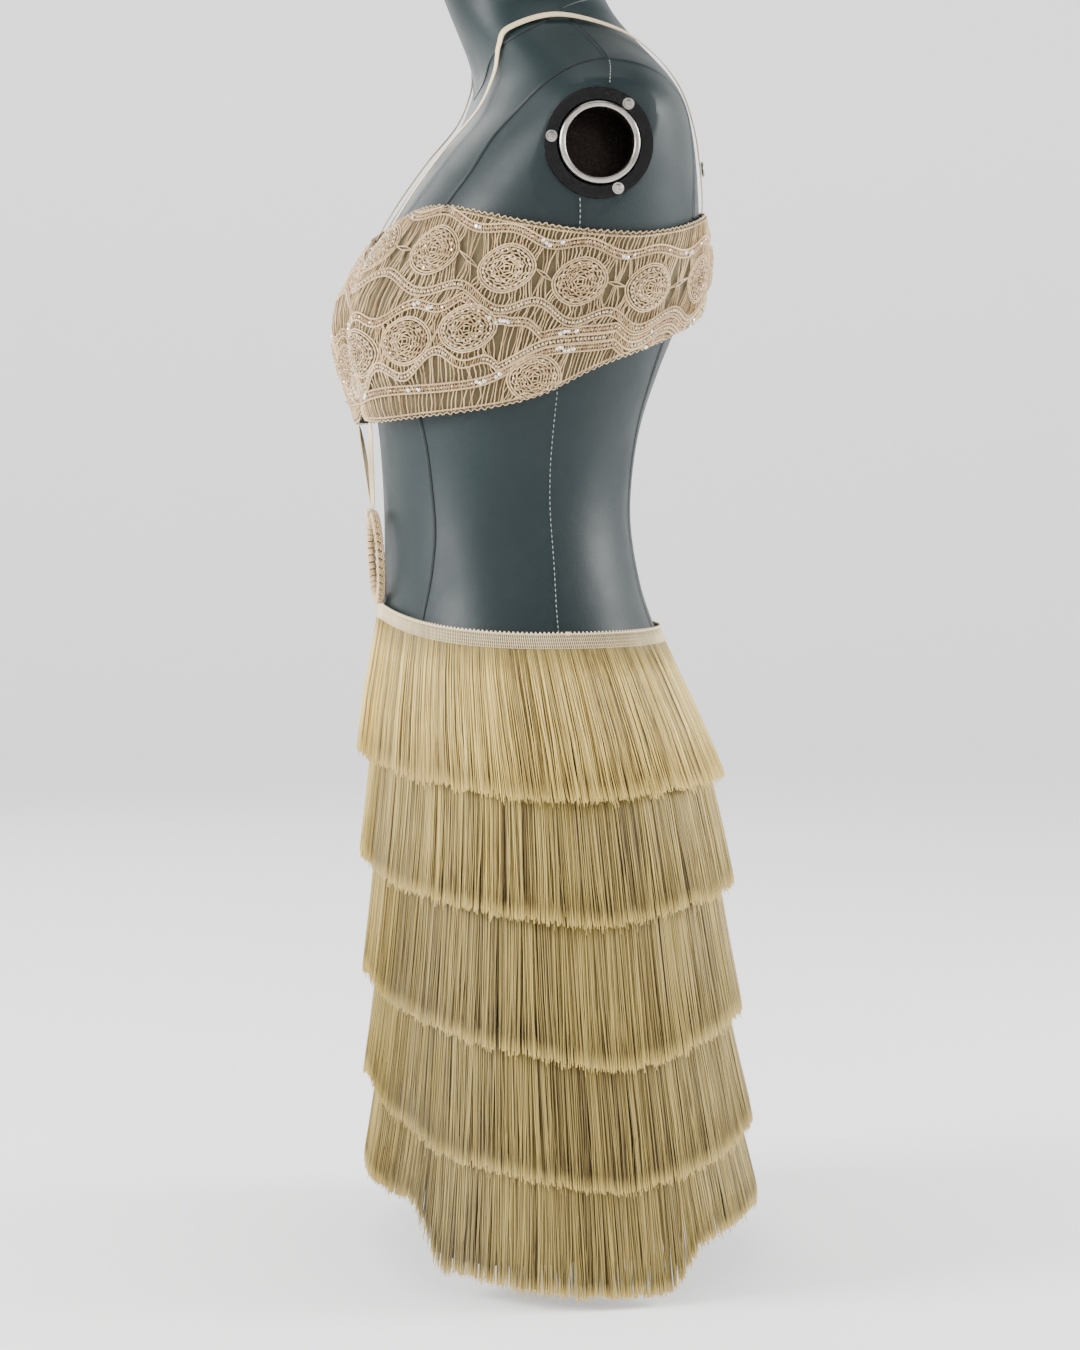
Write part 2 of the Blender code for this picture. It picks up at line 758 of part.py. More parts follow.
def ribbon(name, points, outs, width, thickness, kind):
    """Flat strap along points, with its broad face square to the outward vectors."""
    rings = []
    for i, point in enumerate(points):
        ahead = points[min(i + 1, len(points) - 1)] - points[max(i - 1, 0)]
        out = outs[i].normalized()
        across = ahead.cross(out).normalized() * (width / 2)
        rise = across.cross(ahead).normalized() * (thickness / 2)
        low = point - rise
        high = point + rise
        rings.append([low - across, low + across, high + across, high - across])
    return add_object(name, solid_of_rings(rings), kind, sharp_angle=60)


def smooth_path(points, steps):
    """Points on a Catmull-Rom curve through the given points."""
    path = []
    for i in range(len(points) - 1):
        before = points[max(i - 1, 0)]
        start, end = points[i], points[i + 1]
        after = points[min(i + 2, len(points) - 1)]
        for step in range(steps):
            t = step / steps
            square = (2 * before - 5 * start + 4 * end - after) * t**2
            cube = (3 * start - before - 3 * end + after) * t**3
            path.append(0.5 * (2 * start + (end - before) * t + square + cube))
    path.append(points[-1])
    return path


def crest_height():
    """Height of the shoulder line where the strap crosses it."""
    low, high = STRAP_CREST_RANGE
    for _ in range(HALVINGS):
        trial = (low + high) / 2
        if body_point(pi / 2, trial).x > STRAP_CREST_SIDE:
            low = trial
        else:
            high = trial
    return low


def strap_foot(behind):
    """Where a strap meets the band's upper edge: the surface, the angle, the height and the lift."""
    side = STRAP_FOOT_SIDES[1 if behind else 0]
    level = STRAP_FOOT_LEVEL
    for _ in range(STRAP_FOOT_ROUNDS):
        angle = angle_at_side(band_point, level, side, behind)
        level = band_edge(angle, "top")
    return band_point, angle, level + SEAM_GAP + STRAP_WIDTH / 4, LINING_CLEARANCE + LINING_WALL / 2


def strap_stations():
    """Surface, angle, height and lift of a strap's points, from the cup over the shoulder to the back."""
    half = STRAP_THICKNESS / 2
    stations = [strap_foot(False)]
    for behind, rows in ((False, STRAP_FRONT), (True, STRAP_BACK)):
        for height, side, lift in rows:
            angle = angle_at_side(body_point, height, side, behind)
            stations.append((body_point, angle, height, lift + half))
        if not behind:
            stations.append((body_point, pi / 2, crest_height(), STRAP_CREST_LIFT + half))
    return stations + [strap_foot(True)]


def shoulder_strap(side, word):
    """Strap from a cup over the shoulder to the back of the band, and its slider."""
    points = []
    outs = []
    for surface, angle, height, lift in strap_stations():
        out = outward(surface, angle, height)
        points.append(surface(angle, height) + out * lift)
        outs.append(out)
    path = smooth_path(points, STRAP_STEPS)
    path_outs = smooth_path(outs, STRAP_STEPS)
    for vector in path + path_outs:
        vector.x *= side
    ribbon("strap_" + word, path, path_outs, STRAP_WIDTH, STRAP_THICKNESS, "strap")
    behind = range(len(path) // 2, len(path))
    at = min(behind, key=lambda i: abs(path[i].z - SLIDER_HEIGHT))
    strap_slider(word, path[at], path[at + 1] - path[at - 1], path_outs[at])


def strap_slider(word, point, ahead, out):
    """Wire ring that lies on the strap."""
    along = ahead.normalized()
    across = along.cross(out).normalized()
    out = across.cross(along).normalized()
    centre = point + out * (STRAP_THICKNESS / 2 + SEAM_GAP + SLIDER_WIRE_RADIUS)
    rings = []
    for turn in angles_round(SLIDER_SEGMENTS):
        spoke = across * cos(turn) + along * sin(turn)
        ring = []
        for small in angles_round(SLIDER_SIDES):
            radius = SLIDER_RADIUS + SLIDER_WIRE_RADIUS * cos(small)
            ring.append(centre + spoke * radius + out * (SLIDER_WIRE_RADIUS * sin(small)))
        rings.append(ring)
    bm = bmesh.new()
    join_rings(bm, rings, closed=True)
    add_object("strap_slider_" + word, bm, "steel")


def belly_ring():
    """Crochet-covered ring, its stitches raised on the outer points of the tube."""
    top = Vector((0, RING_TOP_FRONT + RING_TUBE_RADIUS, RING_TOP))
    bottom = Vector((0, RING_BOTTOM_FRONT + RING_TUBE_RADIUS, RING_BOTTOM))
    centre = (top + bottom) / 2
    up = (top - bottom).normalized()
    across = Vector((1, 0, 0))
    out = across.cross(up)
    thick = RING_TUBE_RADIUS + RING_STITCH_RELIEF
    radius = (top - bottom).length / 2 - thick
    rings = []
    for i, turn in enumerate(angles_round(2 * RING_STITCHES)):
        spoke = across * sin(turn) + up * cos(turn)
        tube = thick if i % 2 == 0 else RING_TUBE_RADIUS
        ring = []
        for small in angles_round(RING_SIDES):
            ring.append(centre + spoke * (radius + tube * cos(small)) + out * (tube * sin(small)))
        rings.append(ring)
    bm = bmesh.new()
    join_rings(bm, rings, closed=True)
    add_object("belly_ring", bm, "ring")


def front_straps():
    """Two flat straps in a V from under the cups to the ring's top."""
    for side, word in ((1, "left"), (-1, "right")):
        angle = angle_at_side(band_point, FRONT_STRAP_LEVEL, FRONT_STRAP_SIDE, False)
        level = band_edge(angle, "bottom") - SEAM_GAP - FRONT_STRAP_WIDTH / 4
        start = band_point(angle, level, LINING_CLEARANCE + LINING_WALL / 2)
        end = Vector((FRONT_STRAP_ENDS, RING_TOP_FRONT + RING_TUBE_RADIUS, RING_TOP + FRONT_STRAP_RISE))
        points = []
        for i in range(FRONT_STRAP_POINTS):
            share = i / (FRONT_STRAP_POINTS - 1)
            point = start.lerp(end, share)
            point.x = side * (point.x - FRONT_STRAP_BOW * sin(pi * share))
            points.append(point)
        outs = [Vector((0, -1, 0))] * FRONT_STRAP_POINTS
        ribbon("front_strap_" + word, points, outs, FRONT_STRAP_WIDTH, STRAP_THICKNESS, "strap")


def skirt_foundation():
    """Plain cloth tube that carries the fringe, from the waist to behind the last tier."""
    walls = []
    for offset in (FOUNDATION_WALL, 0.0):
        rings = []
        for share in FOUNDATION_LEVELS:
            ring = []
            for angle in angles_round(FOUNDATION_STATIONS):
                top = tape_top(angle, 1) - FOUNDATION_DROP
                bottom = tape_top(angle, 5) - TAPE_HEIGHT - FOUNDATION_HEM
                ring.append(skirt_point(angle, top + share * (bottom - top), offset))
            rings.append(ring)
        walls.append(rings)
    add_object("skirt_foundation", tube_wall(*walls), "foundation")


def fringe_tier(tier, chance):
    """Heading tape with its fringe: every second face under the tape is drawn down into a flat lock."""
    back = FOUNDATION_WALL + TAPE_CLEARANCE
    front = back + TAPE_WALL
    pitch = 2 * pi / LOCKS_ROUND
    angles = []
    for lock in range(LOCKS_ROUND):
        angles += [lock * pitch, (lock + LOCK_SHARE) * pitch]
    tape = []
    for offset, drop in ((back, TAPE_HEIGHT), (back, 0.0), (front, 0.0), (front, TAPE_HEIGHT)):
        tape.append([skirt_point(angle, tape_top(angle, tier) - drop, offset) for angle in angles])
    bm = bmesh.new()
    made = join_rings(bm, tape, closed=True)
    for i in range(0, 2 * LOCKS_ROUND, 2):
        root = [made[0][i], made[0][i + 1], made[3][i + 1], made[3][i]]
        draw_lock(bm, root, tier, angles[i], angles[i + 1], chance)
    add_object("fringe_%d" % tier, bm, "fringe", smooth=False)


def draw_lock(bm, root, tier, start, end, chance):
    """Draws the face between a root's four corners down into a lock that hangs free."""
    middle = (start + end) / 2
    top = tape_top(middle, tier) - TAPE_HEIGHT
    tip = max(hem_height(middle, tier) + chance.uniform(-1, 1) * LOCK_LENGTH_JITTER, LOWEST_TIP)
    swing = chance.uniform(-1, 1) * LOCK_SWING_JITTER
    bm.faces.remove(bm.faces.get(root))
    ring = root
    for row in LOCK_STAGES:
        stage = dict(zip(LOCK_COLUMNS, row))
        height = top + (tip - top) * stage["along"]
        out = FOUNDATION_WALL + stage["out"] + swing * stage["along"]
        lower = []
        for edge, depth in ((start, 1), (end, 1), (end, 0), (start, 0)):
            angle = middle + (edge - middle) * stage["width_share"]
            lower.append(bm.verts.new(skirt_point(angle, height, out - depth * stage["thickness"])))
        for i in range(4):
            j = (i + 1) % 4
            bm.faces.new((ring[i], ring[j], lower[j], lower[i]))
        ring = lower
    bm.faces.new(ring)


def build():
    clear_scene()
    form_torso()
    for side, word in ((1, "left"), (-1, "right")):
        arm_socket(side, word)
    stand()
    band_lining()
    points, faces = lace_mesh()
    for side, word in ((1, "left"), (-1, "right")):
        lace_half(side, word, points, faces)
        shoulder_strap(side, word)
    front_straps()
    belly_ring()
    skirt_foundation()
    chance = random.Random(LOCK_SEED)
    for tier in range(1, 6):
        fringe_tier(tier, chance)


build()
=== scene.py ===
"""Finish of a crochet mini dress with five fringe tiers, worn by its limbless dress form.

Metres, +Z up. The floor is z = 0, the front of the dress faces -Y and the wearer's left is +X.
Every cloth piece is worked out from the same body surface as the solids, moved outwards.
"""

import json
import random
from math import cos, degrees, exp, hypot, pi, radians, sin

import bmesh
import bpy
from mathutils import Matrix, Vector

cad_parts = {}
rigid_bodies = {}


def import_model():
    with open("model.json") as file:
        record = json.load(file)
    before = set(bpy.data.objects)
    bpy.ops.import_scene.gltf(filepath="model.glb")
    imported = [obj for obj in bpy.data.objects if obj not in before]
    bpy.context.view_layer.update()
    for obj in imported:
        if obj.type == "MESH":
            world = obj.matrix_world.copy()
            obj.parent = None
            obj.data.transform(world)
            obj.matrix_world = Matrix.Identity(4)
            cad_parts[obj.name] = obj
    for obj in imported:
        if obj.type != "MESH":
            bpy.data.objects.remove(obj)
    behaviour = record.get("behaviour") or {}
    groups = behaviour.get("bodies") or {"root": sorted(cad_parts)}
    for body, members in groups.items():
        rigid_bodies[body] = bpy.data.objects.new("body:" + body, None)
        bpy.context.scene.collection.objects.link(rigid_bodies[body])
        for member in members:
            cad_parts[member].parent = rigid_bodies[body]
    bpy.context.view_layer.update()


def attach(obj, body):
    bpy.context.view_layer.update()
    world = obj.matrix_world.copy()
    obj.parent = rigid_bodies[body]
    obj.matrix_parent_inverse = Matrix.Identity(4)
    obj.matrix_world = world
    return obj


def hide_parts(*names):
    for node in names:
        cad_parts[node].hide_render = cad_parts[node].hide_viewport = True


bl_info = {
    "name": "Crochet Fringe Dress",
    "version": (1, 0, 0),
    "blender": (4, 5, 0),
    "location": "3D View > Sidebar > Fringe Dress",
    "description": "Finishes a crochet mini dress with fringe tiers on its dress form",
    "category": "Object",
}

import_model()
SIDES = ((1, "left"), (-1, "right"))

# Body and skirt as level sections: height, front edge, back edge, half width
SECTION_COLUMNS = ("height", "front", "back", "half_width")
FORM_SECTIONS = (
    (0.330, -0.100, 0.122, 0.156),
    (0.345, -0.106, 0.128, 0.164),
    (0.380, -0.109, 0.132, 0.169),
    (0.420, -0.1105, 0.130, 0.170),
    (0.460, -0.1105, 0.117, 0.163),
    (0.500, -0.109, 0.1045, 0.150),
    (0.534, -0.107, 0.0935, 0.136),
    (0.582, -0.107, 0.0858, 0.124),
    (0.622, -0.1085, 0.0870, 0.122),
    (0.662, -0.1115, 0.0935, 0.128),
    (0.702, -0.116, 0.1065, 0.137),
    (0.741, -0.119, 0.122, 0.147),
    (0.775, -0.118, 0.134, 0.156),
    (0.802, -0.111, 0.138, 0.163),
    (0.834, -0.093, 0.1365, 0.170),
    (0.870, -0.067, 0.1325, 0.175),
    (0.895, -0.046, 0.127, 0.176),
    (0.912, -0.038, 0.1215, 0.168),
    (0.930, -0.033, 0.112, 0.146),
    (0.948, -0.037, 0.100, 0.113),
    (0.967, -0.046, 0.086, 0.081),
    (0.985, -0.0545, 0.073, 0.063),
    (1.005, -0.0625, 0.0625, 0.0575),
    (1.035, -0.075, 0.049, 0.0565),
)
SKIRT_SECTIONS = (
    (-0.020, -0.1080, 0.1725, 0.1900),
    (0.040, -0.1080, 0.1710, 0.1900),
    (0.110, -0.1085, 0.1665, 0.1890),
    (0.210, -0.1090, 0.1565, 0.1860),
    (0.310, -0.1105, 0.1500, 0.1820),
    (0.380, -0.1125, 0.1440, 0.1780),
    (0.420, -0.1132, 0.1335, 0.1735),
    (0.460, -0.1130, 0.1200, 0.1665),
    (0.500, -0.1103, 0.1058, 0.1517),
    (0.530, -0.1084, 0.0960, 0.1389),
)
SQUARENESS = 2.3
BUST_SWELL = 0.031
BUST_HEIGHT = 0.745
BUST_HALF_SPACING = 0.085
BUST_SPREAD = 0.045
BUST_RISE = 0.045
BUST_FALL = 0.050
BUST_SIDE_SHARE = 3.0
CUP_FALL = 0.085
CUP_STAND_OFF = 0.009
BACK_STAND_OFF = 0.011
BACK_STAND_OFF_TOP = 0.825
STAND_OFF_BLEND = 0.07
ANGLE_STEP = 0.02
HEIGHT_STEP = 0.002
HALVINGS = 40
WELD = 1e-6

# Cloth walls and the spaces between layers
SEAM_GAP = 0.0004
LINING_CLEARANCE = 0.0020
LINING_WALL = 0.0012
LACE_CLEARANCE = 0.0018
FOUNDATION_WALL = 0.0012
TAPE_CLEARANCE = 0.0009
TAPE_WALL = 0.0018

# Edges of the top band, one row for each angle from the front
BAND_COLUMNS = ("angle", "bottom", "top")
BAND_EDGES = (
    (0, 0.675, 0.789),
    (9, 0.668, 0.794),
    (20, 0.666, 0.806),
    (42, 0.665, 0.821),
    (55, 0.667, 0.822),
    (75, 0.673, 0.812),
    (90, 0.683, 0.806),
    (107, 0.706, 0.804),
    (122, 0.721, 0.810),
    (136, 0.733, 0.818),
    (158, 0.747, 0.826),
    (180, 0.755, 0.829),
)

# Crochet motifs: angle and height of each centre. The ends only carry the lines on past the last motif.
UPPER_MEDALLIONS = ((13, 0.782), (34, 0.792), (55.7, 0.7895), (75.7, 0.7768), (95, 0.768), (115, 0.765),
                    (138, 0.774), (161, 0.786), (184, 0.790))
UPPER_ROW_ENDS = ((-8, 0.778), (207, 0.786))
LOWER_MEDALLIONS = ((4, 0.703), (21.5, 0.709), (38.5, 0.716), (55, 0.7238), (69.6, 0.733))
LOWER_ROW_ENDS = ((-13, 0.703), (84, 0.710), (99, 0.700), (115, 0.701), (131, 0.708), (149, 0.719),
                  (167, 0.727), (184, 0.729))
EDGE_MEDALLION = (88.5, 0.6964)
MEDALLION_HALF_WIDTH = 0.0205
MEDALLION_HALF_HEIGHT = 0.0178
MEDALLION_POWER = 1.75

# Distance of the wavy lines from a row of motifs: at a neck between two of them, and at a motif
LINE_REACH = {
    "upper_above": (0.0225, 0.0285),
    "upper_below": (0.0190, 0.0300),
    "lower_above": (0.0180, 0.0270),
    "lower_below": (0.0140, 0.0262),
}
LOWEST_LINE = ((0, 0.681), (30, 0.682), (47, 0.687), (66, 0.6896), (76.8, 0.6955), (88, 0.7142), (94, 0.718),
               (107, 0.722), (122, 0.733), (136, 0.744), (158, 0.757), (181, 0.765))
EDGE_MARGIN = 0.0012
BAR_MARGIN = EDGE_MARGIN * 1.3
SHORTEST_BAR = 0.0022
LINE_HALF_GAP = 0.0028
LEAST_LINE_GAP = 0.0065
LINE_3_DROP = 0.0075
LINE_4_DROP = 0.013
LINE_5_DROP = 0.019
LOWER_ROW_END = LOWER_MEDALLIONS[-1][0] + 8
NECK_TURN = 9
NECK_WAVE = -0.55
CREASE_DEPTH = 0.0075
CREASE_WIDTH = 0.0055

# Crochet stitches: angles are in degrees, and a share is of a motif's size
HALF_RANGE = (0.4, 179.6)
WALK_RANGE = (0.5, 179.5)
WALK_STEP = 0.4
CHAIN_PITCH = 0.00115
KNOT_SWAY = 0.00016
KNOT_LIFT = 0.0002
KNOT_SWELL = (0.80, 1.22)
SHORT_STITCH_PITCH = 0.0019
RIM_RINGS = ((1.0, 0.0006), (0.91, 0.0009))
RIM_POINTS = 44
KNOT_RINGS = (0.80, 0.68, 0.56, 0.45, 0.34, 0.23, 0.12)
KNOT_WOBBLE = 0.032
CROWN_LIFT = 0.0010
CROWN_RISE = 0.0008
INNER_BARS = 40
OUTER_BARS = 46
NECK_SIDE = 0.30
NECK_STRANDS = (-0.0016, 0.0016)
NECK_FAN = (-0.0052, -0.0016, 0.0016, 0.0052)
NECK_HALF_GAP = 0.0008
EDGE_INSET = 0.0013
LOOP_PITCH = 0.0013
LOOP_REACHES = (0.0, 0.0013, 0.0017, 0.0002)
SEWN_MARGIN = 0.002
BEAD_PITCH = 0.0028
SEQUIN_PITCH = 0.0029

# Rings of pearls on a motif, as count, share, first place and lift, and of sequins, as count, share and lift
BEAD_RINGS = ((26, 0.80, 0.0, 0.0022), (14, 0.50, 0.5, 0.0024))
SEQUIN_RINGS = ((18, 0.75, 0.0022), (9, 0.42, 0.0024))
SMALL_SEQUIN = 0.75

# Fringe: hem height of each tier, one row for each angle from the front
TIERS = range(1, 6)
HEM_COLUMNS = ("angle", "tier_1", "tier_2", "tier_3", "tier_4", "tier_5")
HEM_HEIGHTS = (
    (0, 0.406, 0.322, 0.229, 0.148, 0.066),
    (44, 0.397, 0.308, 0.213, 0.124, 0.069),
    (53, 0.393, 0.304, 0.207, 0.111, 0.024),
    (76, 0.384, 0.294, 0.193, 0.099, 0.015),
    (94, 0.381, 0.287, 0.179, 0.087, 0.008),
    (106, 0.384, 0.293, 0.184, 0.094, 0.010),
    (113, 0.386, 0.297, 0.191, 0.099, 0.043),
    (132, 0.389, 0.303, 0.203, 0.112, 0.052),
    (180, 0.388, 0.306, 0.211, 0.121, 0.055),
)
TIER_LEVEL_ANGLE = 0.15
TAPE_HEIGHT = 0.011
TAPE_OVERLAP = 0.022
FOUNDATION_DROP = 0.001
FOUNDATION_HEM = 0.004
WAIST_SIDE_HEIGHT = 0.5035
WAIST_FRONT_RISE = 0.0165
LOWEST_TIP = 0.006
TIER_DENSITY = (0.94, 0.94, 0.94, 0.94, 1.24)
TIER_THICKNESS = (1.0, 1.0, 1.0, 1.0, 1.2)
# Lower tiers are painted darker than the first by these factors, as painted shade.
LOWER_TIER_SHADE = 0.69
SHADE_STEP = 0.045
TIP_TAPER = 0.6
UNDER_SHARE = 4
UNDER_THICKNESS = 2.3

# Straps: a row for each point, as height, distance from the middle and lift off the body
STRAP_FRONT = (
    (0.838, 0.0520, 0.0036),
    (0.870, 0.0575, 0.0040),
    (0.902, 0.0630, 0.0032),
    (0.930, 0.0680, 0.0024),
    (0.950, 0.0720, 0.0020),
    (0.962, 0.0745, 0.0026),
)
STRAP_BACK = (
    (0.962, 0.0760, 0.0028),
    (0.945, 0.0750, 0.0023),
    (0.920, 0.0720, 0.0023),
    (0.890, 0.0680, 0.0023),
    (0.862, 0.0640, 0.0025),
    (0.842, 0.0620, 0.0028),
)
STRAP_CREST_SIDE = 0.0755
STRAP_CREST_LIFT = 0.0034
STRAP_CREST_RANGE = (0.950, 0.985)
STRAP_FOOT_SIDES = (0.0470, 0.0610)
STRAP_FOOT_LEVEL = 0.82
STRAP_FOOT_ROUNDS = 6
STRAP_WIDTH = 0.0060
STRAP_THICKNESS = 0.0010
SLIDER_HEIGHT = 0.858
SLIDER_RADIUS = 0.0052
SLIDER_WIRE_RADIUS = 0.0009

# Ring at the belly and the two straps that hold it
RING_TOP = 0.5945
RING_BOTTOM = 0.5206
RING_TOP_FRONT = -0.1206
RING_BOTTOM_FRONT = -0.1159
RING_TUBE_RADIUS = 0.0029
FRONT_STRAP_SIDE = 0.0440
FRONT_STRAP_ENDS = 0.0034
FRONT_STRAP_WIDTH = 0.0045
FRONT_STRAP_LEVEL = 0.667
FRONT_STRAP_RISE = 0.0016
FRONT_STRAP_BOW = 0.004
STRAP_TWIST = 1.25
STRAP_OVER_RING = 0.0016
STRAP_FOLD = (0.0004, -0.0024, -0.0056)

# Arm sockets and stand
ARM_FLAT = 0.1650
ARM_CENTRE_Y = 0.034
ARM_CENTRE_Z = 0.868
PLATE_RADIUS = 0.041
PLATE_HOLE_RADIUS = 0.0313
PLATE_THICKNESS = 0.003
SOCKET_RADIUS = 0.0305
SOCKET_BORE_RADIUS = 0.0255
SOCKET_PROUD = 0.0085
SOCKET_DEPTH = 0.047
SOCKET_FLOOR = 0.0008
BORE_CLEARANCE = 0.0008
SCREW_CIRCLE_RADIUS = 0.0361
SCREW_RADIUS = 0.0044
SCREW_HEIGHT = 0.0014
SCREW_ANGLES = (173, 53, -67)
POLE_RADIUS = 0.0125
FOOT_RADIUS = 0.070
FOOT_THICKNESS = 0.008

# Seams of the dress form, as (angle from the front, height) points
PANEL_SEAMS = {
    "front": ((48.5, 0.676), (50.5, 0.645), (52, 0.618), (54, 0.581), (52.5, 0.550), (49.5, 0.524),
              (45, 0.490)),
    "back": ((140, 0.735), (143, 0.690), (146, 0.640), (146, 0.590), (144, 0.545), (141, 0.505),
             (139, 0.480)),
    "armhole": ((50, 0.812), (53, 0.830), (57, 0.850), (61, 0.880), (70, 0.907), (81, 0.926), (93, 0.933),
                (108, 0.926), (121, 0.904), (129, 0.875), (133, 0.845), (135, 0.818)),
    "neck": ((0, 0.918), (20, 0.926), (38, 0.941), (58, 0.953), (78, 0.966), (100, 0.981), (130, 0.991),
             (160, 0.996), (180, 0.998)),
    "shoulder": ((100, 0.981), (98, 0.966), (96, 0.953), (94, 0.940), (93, 0.934)),
}
STITCHED_SEAMS = {
    "side": ((90, 0.826), (92, 0.805), (94, 0.760), (96, 0.700), (97, 0.668), (97.3, 0.619), (97.3, 0.573),
             (96, 0.540), (94, 0.508), (93, 0.480)),
    "cap": ((93, 0.933), (91, 0.921), (90, 0.912)),
}


def linear(red, green, blue):
    """Linear colour of an everyday 0 to 255 colour."""
    shares = (value / 255 for value in (red, green, blue))
    return tuple(s / 12.92 if s <= 0.04045 else ((s + 0.055) / 1.055) ** 2.4 for s in shares)


def scaled(colour, factor):
    return tuple(value * factor for value in colour)


def read_table(columns, rows):
    return {name: [row[i] for row in rows] for i, name in enumerate(columns)}


FORM = read_table(SECTION_COLUMNS, FORM_SECTIONS)
SKIRT = read_table(SECTION_COLUMNS, SKIRT_SECTIONS)
BAND = read_table(BAND_COLUMNS, BAND_EDGES)
HEMS = read_table(HEM_COLUMNS, HEM_HEIGHTS)
UPPER_ROW = read_table(("angle", "height"), sorted(UPPER_MEDALLIONS + UPPER_ROW_ENDS))
LOWER_ROW = read_table(("angle", "height"), sorted(LOWER_MEDALLIONS + LOWER_ROW_ENDS))
LOWEST = read_table(("angle", "height"), LOWEST_LINE)


def straight_between(xs, ys, at):
    if at <= xs[0]:
        return ys[0]
    for i in range(len(xs) - 1):
        if at <= xs[i + 1]:
            share = (at - xs[i]) / (xs[i + 1] - xs[i])
            return ys[i] + share * (ys[i + 1] - ys[i])
    return ys[-1]


def smooth_between(xs, ys, at):
    last = len(xs) - 1
    i = 0
    while i < last - 1 and at > xs[i + 1]:
        i += 1

    def slope(k):
        low = max(k - 1, 0)
        high = min(k + 1, last)
        return (ys[high] - ys[low]) / (xs[high] - xs[low])

    span = xs[i + 1] - xs[i]
    s = (at - xs[i]) / span
    rise = ys[i + 1] - ys[i]
    start = slope(i) * span
    end = slope(i + 1) * span
    return ys[i] + s * (start + s * (3 * rise - 2 * start - end + s * (start + end - 2 * rise)))


def section_point(table, angle, height, offset=0.0):
    """Point on a level section at an angle from the front, moved outwards."""
    front = smooth_between(table["height"], table["front"], height)
    back = smooth_between(table["height"], table["back"], height)
    half_width = smooth_between(table["height"], table["half_width"], height)
    half_depth = (back - front) / 2
    share_x = abs(sin(angle)) / half_width
    share_y = abs(cos(angle)) / half_depth
    radius = (share_x**SQUARENESS + share_y**SQUARENESS) ** (-1 / SQUARENESS)
    x = radius * sin(angle)
    y = -radius * cos(angle)
    power = SQUARENESS - 1
    out_x = (abs(x) / half_width) ** power / half_width * (1 if x >= 0 else -1)
    out_y = (abs(y) / half_depth) ** power / half_depth * (1 if y >= 0 else -1)
    size = hypot(out_x, out_y)
    outwards = Vector((out_x / size, out_y / size, 0.0))
    return Vector((x, y + (front + back) / 2, height)) + outwards * offset


def bust_swell(x, angle, height, fall):
    if cos(angle) <= 0:
        return 0.0
    spread = BUST_RISE if height > BUST_HEIGHT else fall
    across = (abs(x) - BUST_HALF_SPACING) / BUST_SPREAD
    along = (height - BUST_HEIGHT) / spread
    return BUST_SWELL * exp(-across * across - along * along) * min(1.0, BUST_SIDE_SHARE * cos(angle))


def body_point(angle, height, offset=0.0):
    point = section_point(FORM, angle, height, offset)
    point.y -= bust_swell(point.x, angle, height, BUST_FALL)
    return point


def band_face(angle, height):
    """Point inside the top band: it spans the bust, hangs off it and stands off the small of the back."""
    point = section_point(FORM, angle, height)
    point.y -= bust_swell(point.x, angle, height, CUP_FALL)
    below = min(1.0, max(0.0, (BUST_HEIGHT - height) / STAND_OFF_BLEND))
    point.y -= CUP_STAND_OFF * below * max(0.0, cos(angle))
    hollow = min(1.0, max(0.0, (BACK_STAND_OFF_TOP - height) / STAND_OFF_BLEND))
    point.y += BACK_STAND_OFF * hollow * max(0.0, -cos(angle))
    return point


def outward(face, angle, height):
    """Unit vector straight out of a surface that is given by angle and height."""
    across = face(angle + ANGLE_STEP, height) - face(angle - ANGLE_STEP, height)
    up = face(angle, height + HEIGHT_STEP) - face(angle, height - HEIGHT_STEP)
    return across.cross(up).normalized()


def band_point(angle, height, offset=0.0):
    return band_face(angle, height) + outward(band_face, angle, height) * offset


def band_skin(angle, height, offset):
    """Point on the band's cloth, drawn in along the crease between the cups."""
    point = band_point(angle, height, offset)
    if cos(angle) > 0:
        below = min(1.0, max(0.0, (BUST_HEIGHT + 0.02 - height) / STAND_OFF_BLEND))
        point.y += CREASE_DEPTH * below * exp(-(point.x / CREASE_WIDTH) ** 2)
    return point


def skirt_point(angle, height, offset=0.0):
    return section_point(SKIRT, angle, height, offset)


def folded_degrees(angle):
    turned = degrees(angle) % 360
    return min(turned, 360 - turned)


def band_edge(angle, edge):
    return smooth_between(BAND["angle"], BAND[edge], folded_degrees(angle))


def hem_height(angle, tier):
    return straight_between(HEMS["angle"], HEMS["tier_%d" % tier], folded_degrees(angle))


def tape_top(angle, tier):
    """Upper edge of a tier's heading tape. The first is the waistband, which rises to the ring."""
    if tier == 1:
        rise = max(0.0, cos(angle)) ** 2
        return WAIST_SIDE_HEIGHT + WAIST_FRONT_RISE * rise
    before = hem_height(angle - TIER_LEVEL_ANGLE, tier - 1)
    after = hem_height(angle + TIER_LEVEL_ANGLE, tier - 1)
    return (before + after) / 2 + TAPE_OVERLAP


def angles_round(count):
    return [2 * pi * i / count for i in range(count)]


def angle_at_side(surface, height, side, behind):
    """Angle from the front at which a level section reaches a distance from the middle."""
    low, high = (pi / 2, pi) if behind else (0.0, pi / 2)
    for _ in range(HALVINGS):
        middle = (low + high) / 2
        wide = surface(middle, height).x > side
        if wide == behind:
            low = middle
        else:
            high = middle
    return (low + high) / 2


def smooth_path(points, steps):
    """Points on a Catmull-Rom curve through the given points."""
    path = []
    for i in range(len(points) - 1):
        before = points[max(i - 1, 0)]
        start, end = points[i], points[i + 1]
        after = points[min(i + 2, len(points) - 1)]
        for step in range(steps):
            t = step / steps
            square = (2 * before - 5 * start + 4 * end - after) * t**2
            cube = (3 * start - before - 3 * end + after) * t**3
            path.append(0.5 * (2 * start + (end - before) * t + square + cube))
    path.append(points[-1])
    return path


# Meshes


